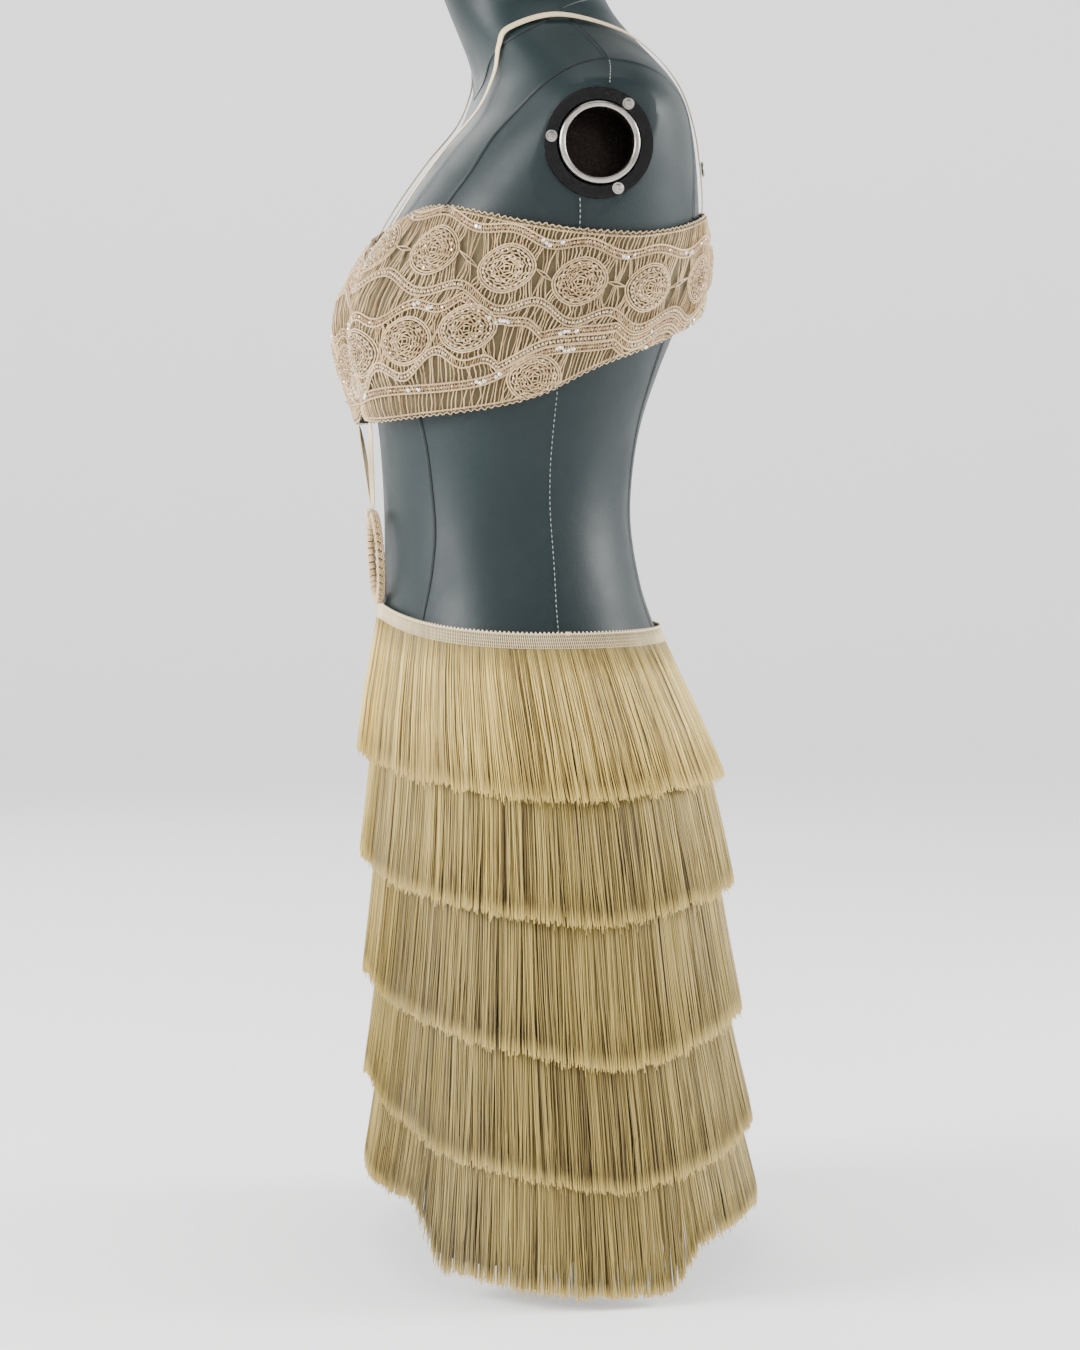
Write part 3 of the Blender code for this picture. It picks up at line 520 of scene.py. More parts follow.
def finished_mesh(name, bm, sharp_angle=40):
    bmesh.ops.recalc_face_normals(bm, faces=bm.faces[:])
    mesh = bpy.data.meshes.new(name)
    bm.to_mesh(mesh)
    bm.free()
    mesh.shade_smooth()
    mesh.set_sharp_from_angle(angle=radians(sharp_angle))
    return mesh


def close_openings(bm):
    bmesh.ops.holes_fill(bm, edges=[edge for edge in bm.edges if edge.is_boundary], sides=0)


def add_piece(name, mesh, material, replaces=()):
    """Puts a mesh in the scene as a piece that rides on the root body."""
    item = bpy.data.objects.new(name, mesh)
    bpy.context.scene.collection.objects.link(item)
    mesh.materials.clear()
    mesh.materials.append(material)
    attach(item, "root")
    if replaces:
        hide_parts(*replaces)
    return item


def wrapped_grid(columns, rows, place):
    """Grid laid on a surface by place(share round, share up), with its two ends joined where they meet."""
    bm = bmesh.new()
    bm.loops.layers.uv.new("UVMap")
    bmesh.ops.create_grid(bm, x_segments=columns, y_segments=rows, size=0.5, calc_uvs=True)
    for vert in bm.verts:
        vert.co = place(vert.co.x + 0.5, vert.co.y + 0.5)
    bmesh.ops.remove_doubles(bm, verts=bm.verts[:], dist=WELD)
    return bm


def spun(origin, axis, spoke, profile, steps, closed=True):
    """Solid of revolution: a profile of (distance along the axis, radius) points, spun a full turn."""
    bm = bmesh.new()
    verts = [bm.verts.new(origin + axis * along + spoke * radius) for along, radius in profile]
    pairs = list(zip(verts, verts[1:]))
    if closed:
        pairs.append((verts[-1], verts[0]))
    for pair in pairs:
        bm.edges.new(pair)
    bmesh.ops.spin(bm, geom=bm.verts[:] + bm.edges[:], cent=origin, axis=axis, dvec=(0, 0, 0), angle=2 * pi,
                   steps=steps, use_merge=True, use_duplicate=False)
    bmesh.ops.remove_doubles(bm, verts=bm.verts[:], dist=WELD)
    return bm


def applied(mesh, modifiers):
    """A mesh after modifiers, each given as (type, settings)."""
    holder = bpy.data.objects.new("holder", mesh)
    bpy.context.scene.collection.objects.link(holder)
    for kind, settings in modifiers:
        modifier = holder.modifiers.new(kind.lower(), kind)
        for name, value in settings.items():
            setattr(modifier, name, value)
    bpy.context.view_layer.update()
    depsgraph = bpy.context.evaluated_depsgraph_get()
    made = bpy.data.meshes.new_from_object(holder.evaluated_get(depsgraph))
    bpy.data.objects.remove(holder)
    return made


def cut_by(mesh, cutter_bm):
    """A mesh with the shape of a cutter taken out of it."""
    cutter_mesh = bpy.data.meshes.new("cutter")
    bmesh.ops.recalc_face_normals(cutter_bm, faces=cutter_bm.faces[:])
    cutter_bm.to_mesh(cutter_mesh)
    cutter_bm.free()
    cutter = bpy.data.objects.new("cutter", cutter_mesh)
    bpy.context.scene.collection.objects.link(cutter)
    made = applied(mesh, [("BOOLEAN", {"operation": "DIFFERENCE", "solver": "EXACT", "object": cutter})])
    bpy.data.objects.remove(cutter)
    return made


class Yarn:
    """One length of yarn: its points, its radius at each, and its tone from 0, dark, to 1, light."""

    def __init__(self, points, radii, tone=0.5):
        self.points = points
        self.radii = radii if isinstance(radii, list) else [radii] * len(points)
        self.tone = tone


def yarn_mesh(name, yarns, sides):
    """Joined mesh of many closed yarns. Each yarn's tone and the share along it are attributes.

    A capped curve lists the end discs first, last spline first, and then the tubes in order.
    """
    scene_objects = bpy.context.scene.collection.objects
    section = bpy.data.curves.new("yarn_section", "CURVE")
    section.dimensions = "2D"
    outline = section.splines.new("POLY")
    outline.points.add(sides - 1)
    for point, turn in zip(outline.points, angles_round(sides)):
        point.co = (cos(turn), sin(turn), 0, 1)
    outline.use_cyclic_u = True
    section_holder = bpy.data.objects.new("yarn_section", section)
    scene_objects.link(section_holder)

    curve = bpy.data.curves.new(name, "CURVE")
    curve.dimensions = "3D"
    curve.bevel_mode = "OBJECT"
    curve.bevel_object = section_holder
    curve.use_fill_caps = True
    for yarn in yarns:
        spline = curve.splines.new("POLY")
        spline.points.add(len(yarn.points) - 1)
        places = [value for p in yarn.points for value in (p.x, p.y, p.z, 1.0)]
        spline.points.foreach_set("co", places)
        spline.points.foreach_set("radius", yarn.radii)
    holder = bpy.data.objects.new("yarn_holder", curve)
    scene_objects.link(holder)
    bpy.context.view_layer.update()
    depsgraph = bpy.context.evaluated_depsgraph_get()
    mesh = bpy.data.meshes.new_from_object(holder.evaluated_get(depsgraph))
    mesh.name = name
    for item in (holder, section_holder):
        bpy.data.objects.remove(item)

    tones = []
    shares = []
    for yarn in reversed(yarns):
        tones += [yarn.tone] * (2 * sides)
        shares += [1.0] * sides + [0.0] * sides
    for yarn in yarns:
        count = len(yarn.points)
        tones += [yarn.tone] * (count * sides)
        shares += [i / (count - 1) for i in range(count) for _ in range(sides)]
    if len(tones) != len(mesh.vertices):
        raise RuntimeError("%s: %d vertices, expected %d" % (name, len(mesh.vertices), len(tones)))
    for label, values in (("tone", tones), ("along", shares)):
        mesh.attributes.new(label, "FLOAT", "POINT").data.foreach_set("value", values)
    bm = bmesh.new()
    bm.from_mesh(mesh)
    bmesh.ops.remove_doubles(bm, verts=bm.verts[:], dist=WELD)
    bmesh.ops.recalc_face_normals(bm, faces=bm.faces[:])
    bm.to_mesh(mesh)
    bm.free()
    mesh.shade_smooth()
    return mesh


def add_solid(name, bm, material, node):
    """Adds a finished piece that takes the place of one node of the solids."""
    return add_piece(name, finished_mesh(name, bm), material, [node])


def add_yarns(name, yarns, sides, material, replaces=()):
    return add_piece(name, yarn_mesh(name, yarns, sides), material, replaces)


# Materials


class Signal:
    """A node's output. Arithmetic on it adds Math nodes."""

    def __init__(self, finish, socket):
        self.finish = finish
        self.socket = socket

    def maths(self, operation, *values):
        return self.finish.add("ShaderNodeMath", {"operation": operation}, dict(enumerate(values)))

    def __add__(self, other):
        return self.maths("ADD", self, other)

    def __sub__(self, other):
        return self.maths("SUBTRACT", self, other)

    def __rsub__(self, other):
        return self.maths("SUBTRACT", other, self)

    def __mul__(self, other):
        return self.maths("MULTIPLY", self, other)

    __radd__ = __add__
    __rmul__ = __mul__

    def sine(self):
        return self.maths("SINE", self)

    def span(self, low, high):
        """0 at low, 1 at high, held there outside them."""
        ends = {"From Min": low, "From Max": high, "To Min": 0.0, "To Max": 1.0}
        return self.finish.add("ShaderNodeMapRange", {"clamp": True}, {"Value": self, **ends}, "Result")


class Finish:
    """A material, with its nodes added by short calls."""

    def __init__(self, name, **shader_values):
        self.material = bpy.data.materials.new(name)
        self.material.use_nodes = True
        self.tree = self.material.node_tree
        self.shader = self.tree.nodes["Principled BSDF"]
        for label, value in shader_values.items():
            self.shader.inputs[label.replace("_", " ")].default_value = value

    def add(self, kind, settings, inputs, output=0):
        node = self.tree.nodes.new(kind)
        for label, value in settings.items():
            setattr(node, label, value)
        for label, value in inputs.items():
            if isinstance(value, Signal):
                self.tree.links.new(value.socket, node.inputs[label])
            else:
                node.inputs[label].default_value = value
        return Signal(self, node.outputs[output])

    def place(self):
        return self.add("ShaderNodeTexCoord", {}, {}, "Object")

    def flat_place(self):
        return self.add("ShaderNodeTexCoord", {}, {}, "UV")

    def axis(self, vector, axis):
        return self.add("ShaderNodeSeparateXYZ", {}, {"Vector": vector}, axis)

    def stretched(self, vector, scale):
        return self.add("ShaderNodeMapping", {}, {"Vector": vector, "Scale": scale})

    def noise(self, scale, detail=3.0, vector=None):
        if vector is None:
            vector = self.place()
        return self.add("ShaderNodeTexNoise", {}, {"Vector": vector, "Scale": scale, "Detail": detail}, "Fac")

    def cells(self, scale):
        return self.add("ShaderNodeTexVoronoi", {}, {"Vector": self.place(), "Scale": scale}, "Distance")

    def attribute(self, label):
        return self.add("ShaderNodeAttribute", {"attribute_name": label}, {}, "Fac")

    def mix(self, share, low, high):
        """Colour between two colours."""
        ends = {0: share}
        for slot, value in ((6, low), (7, high)):
            ends[slot] = value if isinstance(value, Signal) else (*value, 1.0)
        return self.add("ShaderNodeMix", {"data_type": "RGBA"}, ends, 2)

    def bump(self, height, distance, strength=1.0):
        values = {"Height": height, "Distance": distance, "Strength": strength}
        return self.add("ShaderNodeBump", {}, values, "Normal")

    def feed(self, **signals):
        for label, signal in signals.items():
            self.tree.links.new(signal.socket, self.shader.inputs[label.replace("_", " ")])
        return self.material


def leatherette(name, base):
    """Padded leatherette: fine pebbled grain, cloudy colour, faint rubbed patches."""
    finish = Finish(name, Specular_IOR_Level=0.28)
    cloud = finish.noise(9.0, 4.0)
    mottle = finish.noise(60.0, 5.0)
    grain = finish.cells(1100.0)
    fine = finish.noise(2400.0, 2.0)
    darker = scaled(base, 0.72)
    lighter = scaled(base, 1.22)
    tint = finish.mix(cloud.span(0.3, 0.7), darker, base)
    tint = finish.mix(mottle.span(0.56, 0.74) * 0.4, tint, lighter)
    rub = finish.noise(22.0, 6.0).span(0.5, 0.8)
    normal = finish.bump(grain * 0.7 + fine * 0.3, 0.00022, 0.55)
    return finish.feed(Base_Color=tint, Roughness=0.44 + rub * 0.14, Normal=normal)


def seam_thread(name, base):
    finish = Finish(name, Roughness=0.7)
    tint = finish.mix(finish.noise(700.0), scaled(base, 0.8), base)
    return finish.feed(Base_Color=tint)


def gloss_black(name):
    finish = Finish(name, Specular_IOR_Level=0.18)
    dust = finish.noise(420.0, 6.0).span(0.66, 0.80)
    smear = finish.noise(35.0, 4.0)
    tint = finish.mix(dust * 0.3, (0.0025, 0.0025, 0.003), (0.06, 0.06, 0.06))
    return finish.feed(Base_Color=tint, Roughness=0.16 + smear * 0.22 + dust * 0.2)


def turned_steel(name, painted_shade_from=None):
    """Turned steel with fine marks. Nearer the middle than the given distance along X it is dark: painted
    shade inside the socket's bore.
    """
    finish = Finish(name, Metallic=1.0)
    marks = finish.noise(900.0, 2.0, finish.stretched(finish.place(), (6.0, 1.0, 1.0)))
    cloud = finish.noise(40.0, 4.0)
    tint = finish.mix(cloud.span(0.35, 0.75), (0.24, 0.22, 0.20), (0.46, 0.44, 0.41))
    if painted_shade_from is not None:
        # Painted shade: the steel inside the socket's bore is made near black.
        side = finish.axis(finish.place(), "X")
        outer = side.maths("ABSOLUTE", side).span(painted_shade_from - 0.012, painted_shade_from)
        tint = finish.mix(outer, (0.012, 0.009, 0.008), tint)
    normal = finish.bump(marks, 0.00005, 0.5)
    return finish.feed(Base_Color=tint, Roughness=0.18 + marks * 0.16, Normal=normal)


def woven_cloth(name, base, round_threads, up_threads):
    """Plain weave that follows the cloth's own flat map."""
    finish = Finish(name, Sheen_Weight=0.15, Sheen_Roughness=0.5)
    flat = finish.flat_place()
    across = finish.axis(flat, "X") * (2 * pi * round_threads)
    up = finish.axis(flat, "Y") * (2 * pi * up_threads)
    weave = across.sine() * up.sine() * 0.5 + 0.5
    cloud = finish.noise(30.0, 5.0)
    dark = scaled(base, 0.66)
    tint = finish.mix(weave * 0.5 + cloud * 0.5, dark, base)
    normal = finish.bump(weave, 0.0002, 0.7)
    return finish.feed(Base_Color=tint, Roughness=0.78 + weave * 0.12, Normal=normal)


def crochet_yarn(name, dark, light, twist_scale=1900.0):
    """Soft cotton yarn: plied, a little fuzzy, each length in its own tone."""
    finish = Finish(name, Sheen_Weight=0.35, Sheen_Roughness=0.45, Specular_IOR_Level=0.3)
    tone = finish.attribute("tone")
    ply = finish.noise(twist_scale, 3.0)
    stain = finish.noise(26.0, 5.0).span(0.35, 0.7)
    share = tone * 0.55 + ply * 0.25 + stain * 0.2
    tint = finish.mix(share.span(0.15, 0.85), dark, light)
    normal = finish.bump(ply, 0.0003, 0.8)
    return finish.feed(Base_Color=tint, Roughness=0.82 + ply * 0.12, Normal=normal)


def fringe_yarn(name, dark, light, tip):
    """Straight lustrous fringe: each strand in its own tone, darker near its root as painted shade, paler at
    its cut tip.
    """
    finish = Finish(name, Sheen_Weight=0.2, Sheen_Roughness=0.35, Specular_IOR_Level=0.45)
    tone = finish.attribute("tone")
    along = finish.attribute("along")
    streak = finish.noise(260.0, 3.0, finish.stretched(finish.place(), (1.0, 1.0, 0.05)))
    share = tone * 0.65 + streak * 0.35
    tint = finish.mix(share.span(0.2, 0.8), dark, light)
    # Painted shade: the strand darkens towards its root, under the tier above.
    tint = finish.mix((1 - along.span(0.0, 0.35)) * 0.45, tint, scaled(dark, 0.55))
    tint = finish.mix(along.span(0.91, 1.0) * 0.7, tint, tip)
    return finish.feed(Base_Color=tint, Roughness=0.46 + streak * 0.16)


def satin_tape(name, dark, light):
    finish = Finish(name, Sheen_Weight=0.25, Sheen_Roughness=0.3, Specular_IOR_Level=0.55)
    ribs = finish.noise(1500.0, 2.0, finish.stretched(finish.place(), (1.0, 1.0, 0.12)))
    soil = finish.noise(45.0, 5.0)
    tint = finish.mix(ribs * 0.45 + soil * 0.55, dark, light)
    normal = finish.bump(ribs, 0.00008, 0.6)
    return finish.feed(Base_Color=tint, Roughness=0.34 + ribs * 0.2, Normal=normal)


def pearl(name, dark, light):
    finish = Finish(name, Coat_Weight=0.6, Coat_Roughness=0.12, Specular_IOR_Level=0.6)
    swirl = finish.noise(300.0, 3.0)
    tint = finish.mix(swirl.span(0.3, 0.7), dark, light)
    return finish.feed(Base_Color=tint, Roughness=0.2 + swirl * 0.15)


def sequin(name, dark, light, metallic):
    finish = Finish(name, Metallic=metallic, Coat_Weight=0.8, Coat_Roughness=0.06)
    shimmer = finish.noise(500.0, 2.0)
    tint = finish.mix(shimmer.span(0.35, 0.65), dark, light)
    return finish.feed(Base_Color=tint, Roughness=0.12 + shimmer * 0.12)


def studio_paper(name, tint):
    finish = Finish(name, Roughness=0.9, Specular_IOR_Level=0.1, Emission_Strength=0.45)
    finish.shader.inputs["Emission Color"].default_value = (1.0, 1.0, 1.0, 1.0)
    cloud = finish.noise(0.6, 2.0)
    return finish.feed(Base_Color=finish.mix(cloud * 0.5, tint, scaled(tint, 0.97)))


# Sizes and colours that a user would change


class FormSettings(bpy.types.PropertyGroup):
    leather: bpy.props.FloatVectorProperty(
        name="Leatherette", description="Colour of the padded form", subtype="COLOR", size=3, min=0, max=1,
        default=linear(24, 37, 39))
    thread: bpy.props.FloatVectorProperty(
        name="Seam thread", description="Colour of the visible stitches", subtype="COLOR", size=3, min=0,
        max=1, default=linear(150, 162, 160))
    columns: bpy.props.IntProperty(
        name="Columns", description="Faces round the torso", default=168, min=48, max=400)
    rows: bpy.props.IntProperty(
        name="Rows", description="Faces up the torso", default=150, min=40, max=400)
    stitch_pitch: bpy.props.FloatProperty(
        name="Stitch pitch", description="Distance from one stitch to the next", default=0.0042, min=0.001,
        unit="LENGTH")
    stitch_length: bpy.props.FloatProperty(
        name="Stitch length", description="Length of a visible stitch", default=0.0026, min=0.0005,
        unit="LENGTH")


class CrochetSettings(bpy.types.PropertyGroup):
    dark: bpy.props.FloatVectorProperty(
        name="Dark yarn", description="Darkest tone of the crochet", subtype="COLOR", size=3, min=0, max=1,
        default=linear(124, 88, 46))
    light: bpy.props.FloatVectorProperty(
        name="Light yarn", description="Lightest tone of the crochet", subtype="COLOR", size=3, min=0, max=1,
        default=linear(236, 206, 156))
    # The lining's colour is its own, darkened in part as painted shade for the narrow gaps under the lace.
    lining: bpy.props.FloatVectorProperty(
        name="Lining", description="Colour of the cloth behind the lace", subtype="COLOR", size=3, min=0,
        max=1, default=linear(104, 90, 58))
    bar_pitch: bpy.props.FloatProperty(
        name="Bar pitch", description="Distance between two ladder bars", default=0.0031, min=0.001,
        unit="LENGTH")
    bar_radius: bpy.props.FloatProperty(
        name="Bar radius", description="Half the thickness of a ladder bar", default=0.00046, min=0.0001,
        unit="LENGTH", precision=5)
    line_radius: bpy.props.FloatProperty(
        name="Line radius", description="Half the thickness of a chain line", default=0.00072, min=0.0001,
        unit="LENGTH", precision=5)
    bead_radius: bpy.props.FloatProperty(
        name="Bead radius", description="Radius of a seed bead", default=0.00105, min=0.0003,
        unit="LENGTH", precision=5)
    sequin_radius: bpy.props.FloatProperty(
        name="Sequin radius", description="Radius of a sequin", default=0.0017, min=0.0005,
        unit="LENGTH", precision=5)


class TrimSettings(bpy.types.PropertyGroup):
    dark: bpy.props.FloatVectorProperty(
        name="Dark satin", description="Darkest tone of the straps", subtype="COLOR", size=3, min=0, max=1,
        default=linear(190, 168, 122))
    light: bpy.props.FloatVectorProperty(
        name="Light satin", description="Lightest tone of the straps", subtype="COLOR", size=3, min=0, max=1,
        default=linear(240, 222, 182))
    ring_stitches: bpy.props.IntProperty(
        name="Ring stitches", description="Stitches round the covered ring", default=34, min=12, max=120)


class FringeSettings(bpy.types.PropertyGroup):
    dark: bpy.props.FloatVectorProperty(
        name="Dark strands", description="Darkest tone of the fringe", subtype="COLOR", size=3, min=0, max=1,
        default=linear(94, 67, 21))
    light: bpy.props.FloatVectorProperty(
        name="Light strands", description="Lightest tone of the fringe", subtype="COLOR", size=3, min=0,
        max=1, default=linear(238, 209, 118))
    strands: bpy.props.IntProperty(
        name="Strands", description="Usual number of strands in a tier", default=3600, min=200, max=7000)
    strand_radius: bpy.props.FloatProperty(
        name="Strand radius", description="Half the thickness of a strand", default=0.00036, min=0.0001,
        unit="LENGTH", precision=5)
    lock_width: bpy.props.FloatProperty(
        name="Lock width", description="Usual width of a gathered lock", default=0.0095, min=0.002,
        unit="LENGTH")


class StageSettings(bpy.types.PropertyGroup):
    azimuth: bpy.props.FloatProperty(
        name="Azimuth", description="Way round from the front to the camera", subtype="ANGLE",
        default=radians(81))
    distance: bpy.props.FloatProperty(
        name="Distance", description="Camera to the pole, on the level", default=2.4436, min=0.5,
        unit="LENGTH")
    height: bpy.props.FloatProperty(
        name="Height", description="Camera above the floor", default=0.6305, min=0.05, unit="LENGTH")
    across: bpy.props.FloatProperty(
        name="Across", description="Camera moved to its right", default=0.0161, unit="LENGTH")
    pitch: bpy.props.FloatProperty(
        name="Pitch", description="Camera turned down", subtype="ANGLE", default=radians(3.934))
    lens: bpy.props.FloatProperty(
        name="Lens", description="Focal length", default=81.586, min=10, unit="CAMERA")
    paper: bpy.props.FloatVectorProperty(
        name="Paper", description="Colour of the floor and backdrop", subtype="COLOR", size=3, min=0, max=1,
        default=(0.93, 0.93, 0.93))


# The dress form


def form_surface(columns, rows):
    """Torso and neck, closed above and below, with flats and bores for the arms."""
    low = FORM_SECTIONS[0][0]
    high = FORM_SECTIONS[-1][0]

    def place(share_round, share_up):
        return body_point(2 * pi * share_round, low + share_up * (high - low))

    bm = wrapped_grid(columns, rows, place)
    close_openings(bm)
    for side, _ in SIDES:
        everything = bm.verts[:] + bm.edges[:] + bm.faces[:]
        bmesh.ops.bisect_plane(bm, geom=everything, dist=1e-6, plane_co=(side * ARM_FLAT, 0, 0),
                               plane_no=(side, 0, 0), clear_outer=True)
        close_openings(bm)
    mesh = finished_mesh("form_cover", bm, 50)
    for side, _ in SIDES:
        cutter = bmesh.new()
        radius = SOCKET_RADIUS + BORE_CLEARANCE
        middle = Vector((side * ARM_FLAT, ARM_CENTRE_Y, ARM_CENTRE_Z))
        turn = Matrix.Translation(middle) @ Matrix.Rotation(pi / 2, 4, "Y")
        bmesh.ops.create_cone(cutter, cap_ends=True, segments=64, radius1=radius, radius2=radius,
                              depth=2 * SOCKET_DEPTH + 0.004, matrix=turn)
        mesh = cut_by(mesh, cutter)
    mesh.shade_smooth()
    mesh.set_sharp_from_angle(angle=radians(50))
    return mesh


RIDGE_ANGLE = 0.9
SEAM_STEPS = 10


def seam_path(rows, side, offset, turn=0.0):
    """Smooth run along a seam of the form, on one side, lifted by an offset and turned by some degrees."""
    spots = [Vector((radians(angle + turn), height)) for angle, height in rows]
    path = []
    for spot in smooth_path(spots, SEAM_STEPS):
        angle = side * spot.x
        path.append(body_point(angle, spot.y) + outward(body_point, angle, spot.y) * offset)
    return path


def evenly(path, pitch):
    """Points along a path at an even pitch, with the direction of travel at each."""
    spots = []
    left = 0.0
    for start, end in zip(path, path[1:]):
        length = (end - start).length
        way = (end - start).normalized()
        while left < length:
            spots.append((start + way * left, way))
            left += pitch
        left -= length
    return spots


class DRESS_OT_form(bpy.types.Operator):
    """Cover the dress form in leatherette with its seams and stitches"""

    bl_idname = "dress.form"
    bl_label = "Dress Form"

    def execute(self, context):
        settings = context.scene.dress_form
        leather = leatherette("leatherette", tuple(settings.leather))
        cover = form_surface(settings.columns, settings.rows)
        add_piece("form_cover", cover, leather, ["form_torso"])
        lines = []
        ridges = []
        stitches = []
        for side, _ in SIDES:
            for rows in PANEL_SEAMS.values():
                lines.append(Yarn(seam_path(rows, side, 0.0001), 0.0007, 0.0))
                ridges.append(Yarn(seam_path(rows, side, -0.0011, -RIDGE_ANGLE), 0.0019, 0.5))
            for rows in STITCHED_SEAMS.values():
                lines.append(Yarn(seam_path(rows, side, -0.0001), 0.00045, 0.0))
                path = seam_path(rows, side, 0.0002)
                for point, way in evenly(path, settings.stitch_pitch):
                    half = way * (settings.stitch_length / 2)
                    stitches.append(Yarn([point - half, point, point + half], [0.0002, 0.0004, 0.0002]))
        # The seam lines are near black cords: painted shade in the seams' grooves, not a colour of the
        # leatherette.
        dark = scaled(settings.leather, 0.12)
        thread = seam_thread("seam_stitch", tuple(settings.thread))
        add_yarns("form_seam_lines", lines, 6, seam_thread("seam_painted_shade", dark))
        add_yarns("form_seam_ridges", ridges, 8, leather)
        add_yarns("form_stitches", stitches, 4, thread)
        return {"FINISHED"}


class DRESS_OT_sockets(bpy.types.Operator):
    """Turn the arm plates, socket tubes and cross-head screws"""

    bl_idname = "dress.sockets"
    bl_label = "Arm Sockets"

    def execute(self, context):
        black = gloss_black("gloss_black")
        # The socket steel is painted near black inside the bore, as painted shade.
        steel = turned_steel("socket_steel", ARM_FLAT + SOCKET_PROUD - 0.002)
        screw_steel = turned_steel("screw_steel")
        for side, word in SIDES:
            out = Vector((side, 0, 0))
            up = Vector((0, 0, 1))
            centre = Vector((side * ARM_FLAT, ARM_CENTRE_Y, ARM_CENTRE_Z))
            low = SEAM_GAP
            high = SEAM_GAP + PLATE_THICKNESS
            edge = 0.0006
            plate = (
                (low, PLATE_HOLE_RADIUS),
                (low, PLATE_RADIUS),
                (high - edge, PLATE_RADIUS),
                (high - edge * 0.3, PLATE_RADIUS - edge * 0.3),
                (high, PLATE_RADIUS - edge),
                (high, PLATE_HOLE_RADIUS + edge),
                (high - edge, PLATE_HOLE_RADIUS),
            )
            bm = spun(centre, out, up, plate, 72)
            add_solid("socket_plate_" + word, bm, black, "arm_plate_" + word)
            lip = (SOCKET_RADIUS - SOCKET_BORE_RADIUS) / 2
            middle = (SOCKET_RADIUS + SOCKET_BORE_RADIUS) / 2
            floor = SOCKET_FLOOR - SOCKET_DEPTH
            tube = [(-SOCKET_DEPTH, 0.0), (-SOCKET_DEPTH, SOCKET_RADIUS)]
            for step in range(9):
                turn = pi * step / 8
                tube.append((SOCKET_PROUD - lip + lip * sin(turn), middle + lip * cos(turn)))
            tube += [(floor, SOCKET_BORE_RADIUS), (floor, 0.0)]
            bm = spun(centre, out, up, tube, 72, closed=False)
            add_solid("socket_tube_" + word, bm, steel, "arm_socket_" + word)
            for number, turn in enumerate(SCREW_ANGLES, 1):
                across = SCREW_CIRCLE_RADIUS * cos(radians(turn))
                above = SCREW_CIRCLE_RADIUS * sin(radians(turn))
                foot = centre + Vector((side * (high + SEAM_GAP), across, above))
                name = "socket_screw_%s_%d" % (word, number)
                add_piece(name, self.screw(name, foot, out, up), screw_steel,
                          ["arm_screw_%s_%d" % (word, number)])
        return {"FINISHED"}

    def screw(self, name, foot, out, up):
        """Washer and domed head, with a cross recess cut into it."""
        head = SCREW_RADIUS * 0.72
        rise = SCREW_HEIGHT
        profile = (
            (0.0, 0.0),
            (0.0, SCREW_RADIUS),
            (rise * 0.25, SCREW_RADIUS),
            (rise * 0.38, SCREW_RADIUS * 0.93),
            (rise * 0.38, head),
            (rise * 1.1, head * 0.94),
            (rise * 1.5, head * 0.6),
            (rise * 1.6, 0.0),
        )
        bm = spun(foot, out, up, profile, 32, closed=False)
        mesh = finished_mesh(name, bm, 35)
        for turn in (radians(28), radians(118)):
            cutter = bmesh.new()
            place = (Matrix.Translation(foot + out * rise * 1.4) @ Matrix.Rotation(turn, 4, "X")
                     @ Matrix.Diagonal((rise * 1.4, head * 1.4, head * 0.42, 1.0)))
            bmesh.ops.create_cube(cutter, size=1.0, matrix=place)
            mesh = cut_by(mesh, cutter)
        mesh.shade_smooth()
        mesh.set_sharp_from_angle(angle=radians(35))
        return mesh


class DRESS_OT_stand(bpy.types.Operator):
    """Turn the pole and the round foot"""

    bl_idname = "dress.stand"
    bl_label = "Stand"

    def execute(self, context):
        up = Vector((0, 0, 1))
        spoke = Vector((0, 1, 0))
        origin = Vector((0, 0, 0))
        top = FORM_SECTIONS[0][0] - SEAM_GAP
        low = FOOT_THICKNESS + SEAM_GAP
        pole = ((low, 0.0), (low, POLE_RADIUS), (top, POLE_RADIUS), (top, 0.0))
        bm = spun(origin, up, spoke, pole, 48, closed=False)
        add_solid("pole", bm, turned_steel("pole_steel"), "stand_pole")
        foot = [(0.0, 0.0), (0.0, FOOT_RADIUS)]
        edge = 0.002
        for step in range(7):
            turn = pi / 2 * step / 6
            foot.append((FOOT_THICKNESS - edge + edge * sin(turn), FOOT_RADIUS - edge + edge * cos(turn)))
        foot.append((FOOT_THICKNESS, 0.0))
        bm = spun(origin, up, spoke, foot, 96, closed=False)
        add_solid("round_foot", bm, gloss_black("foot_black"), "stand_foot")
        return {"FINISHED"}


# The top band


def row_height(row, angle):
    return smooth_between(row["angle"], row["height"], angle)


def row_wave(row, angle):
    """1 at a medallion of the row and -1 at the neck between two of them."""
    xs = row["angle"]
    i = 0
    while i < len(xs) - 2 and angle > xs[i + 1]:
        i += 1
    return cos(2 * pi * (angle - xs[i]) / (xs[i + 1] - xs[i]))


def guard_line(row, way, reach):
    """Height of the wavy line above (way 1) or below (way -1) a row of motifs, by angle in degrees."""
    neck, motif = LINE_REACH[reach]

    def line(angle):
        share = (1 + row_wave(row, angle)) / 2
        return row_height(row, angle) + way * (neck + (motif - neck) * share)

    return line


def top_edge(angle):
    return smooth_between(BAND["angle"], BAND["top"], angle)


def bottom_edge(angle):
    return smooth_between(BAND["angle"], BAND["bottom"], angle)


def over_top(angle):
    return top_edge(angle) + LINE_HALF_GAP


def under_bottom(angle):
    return bottom_edge(angle) - LINE_HALF_GAP


def bar_top(line, angle):
    """Upper end of a bar that hangs from a line, kept inside the band."""
    return min(line(angle) - LINE_HALF_GAP, top_edge(angle) - BAR_MARGIN)


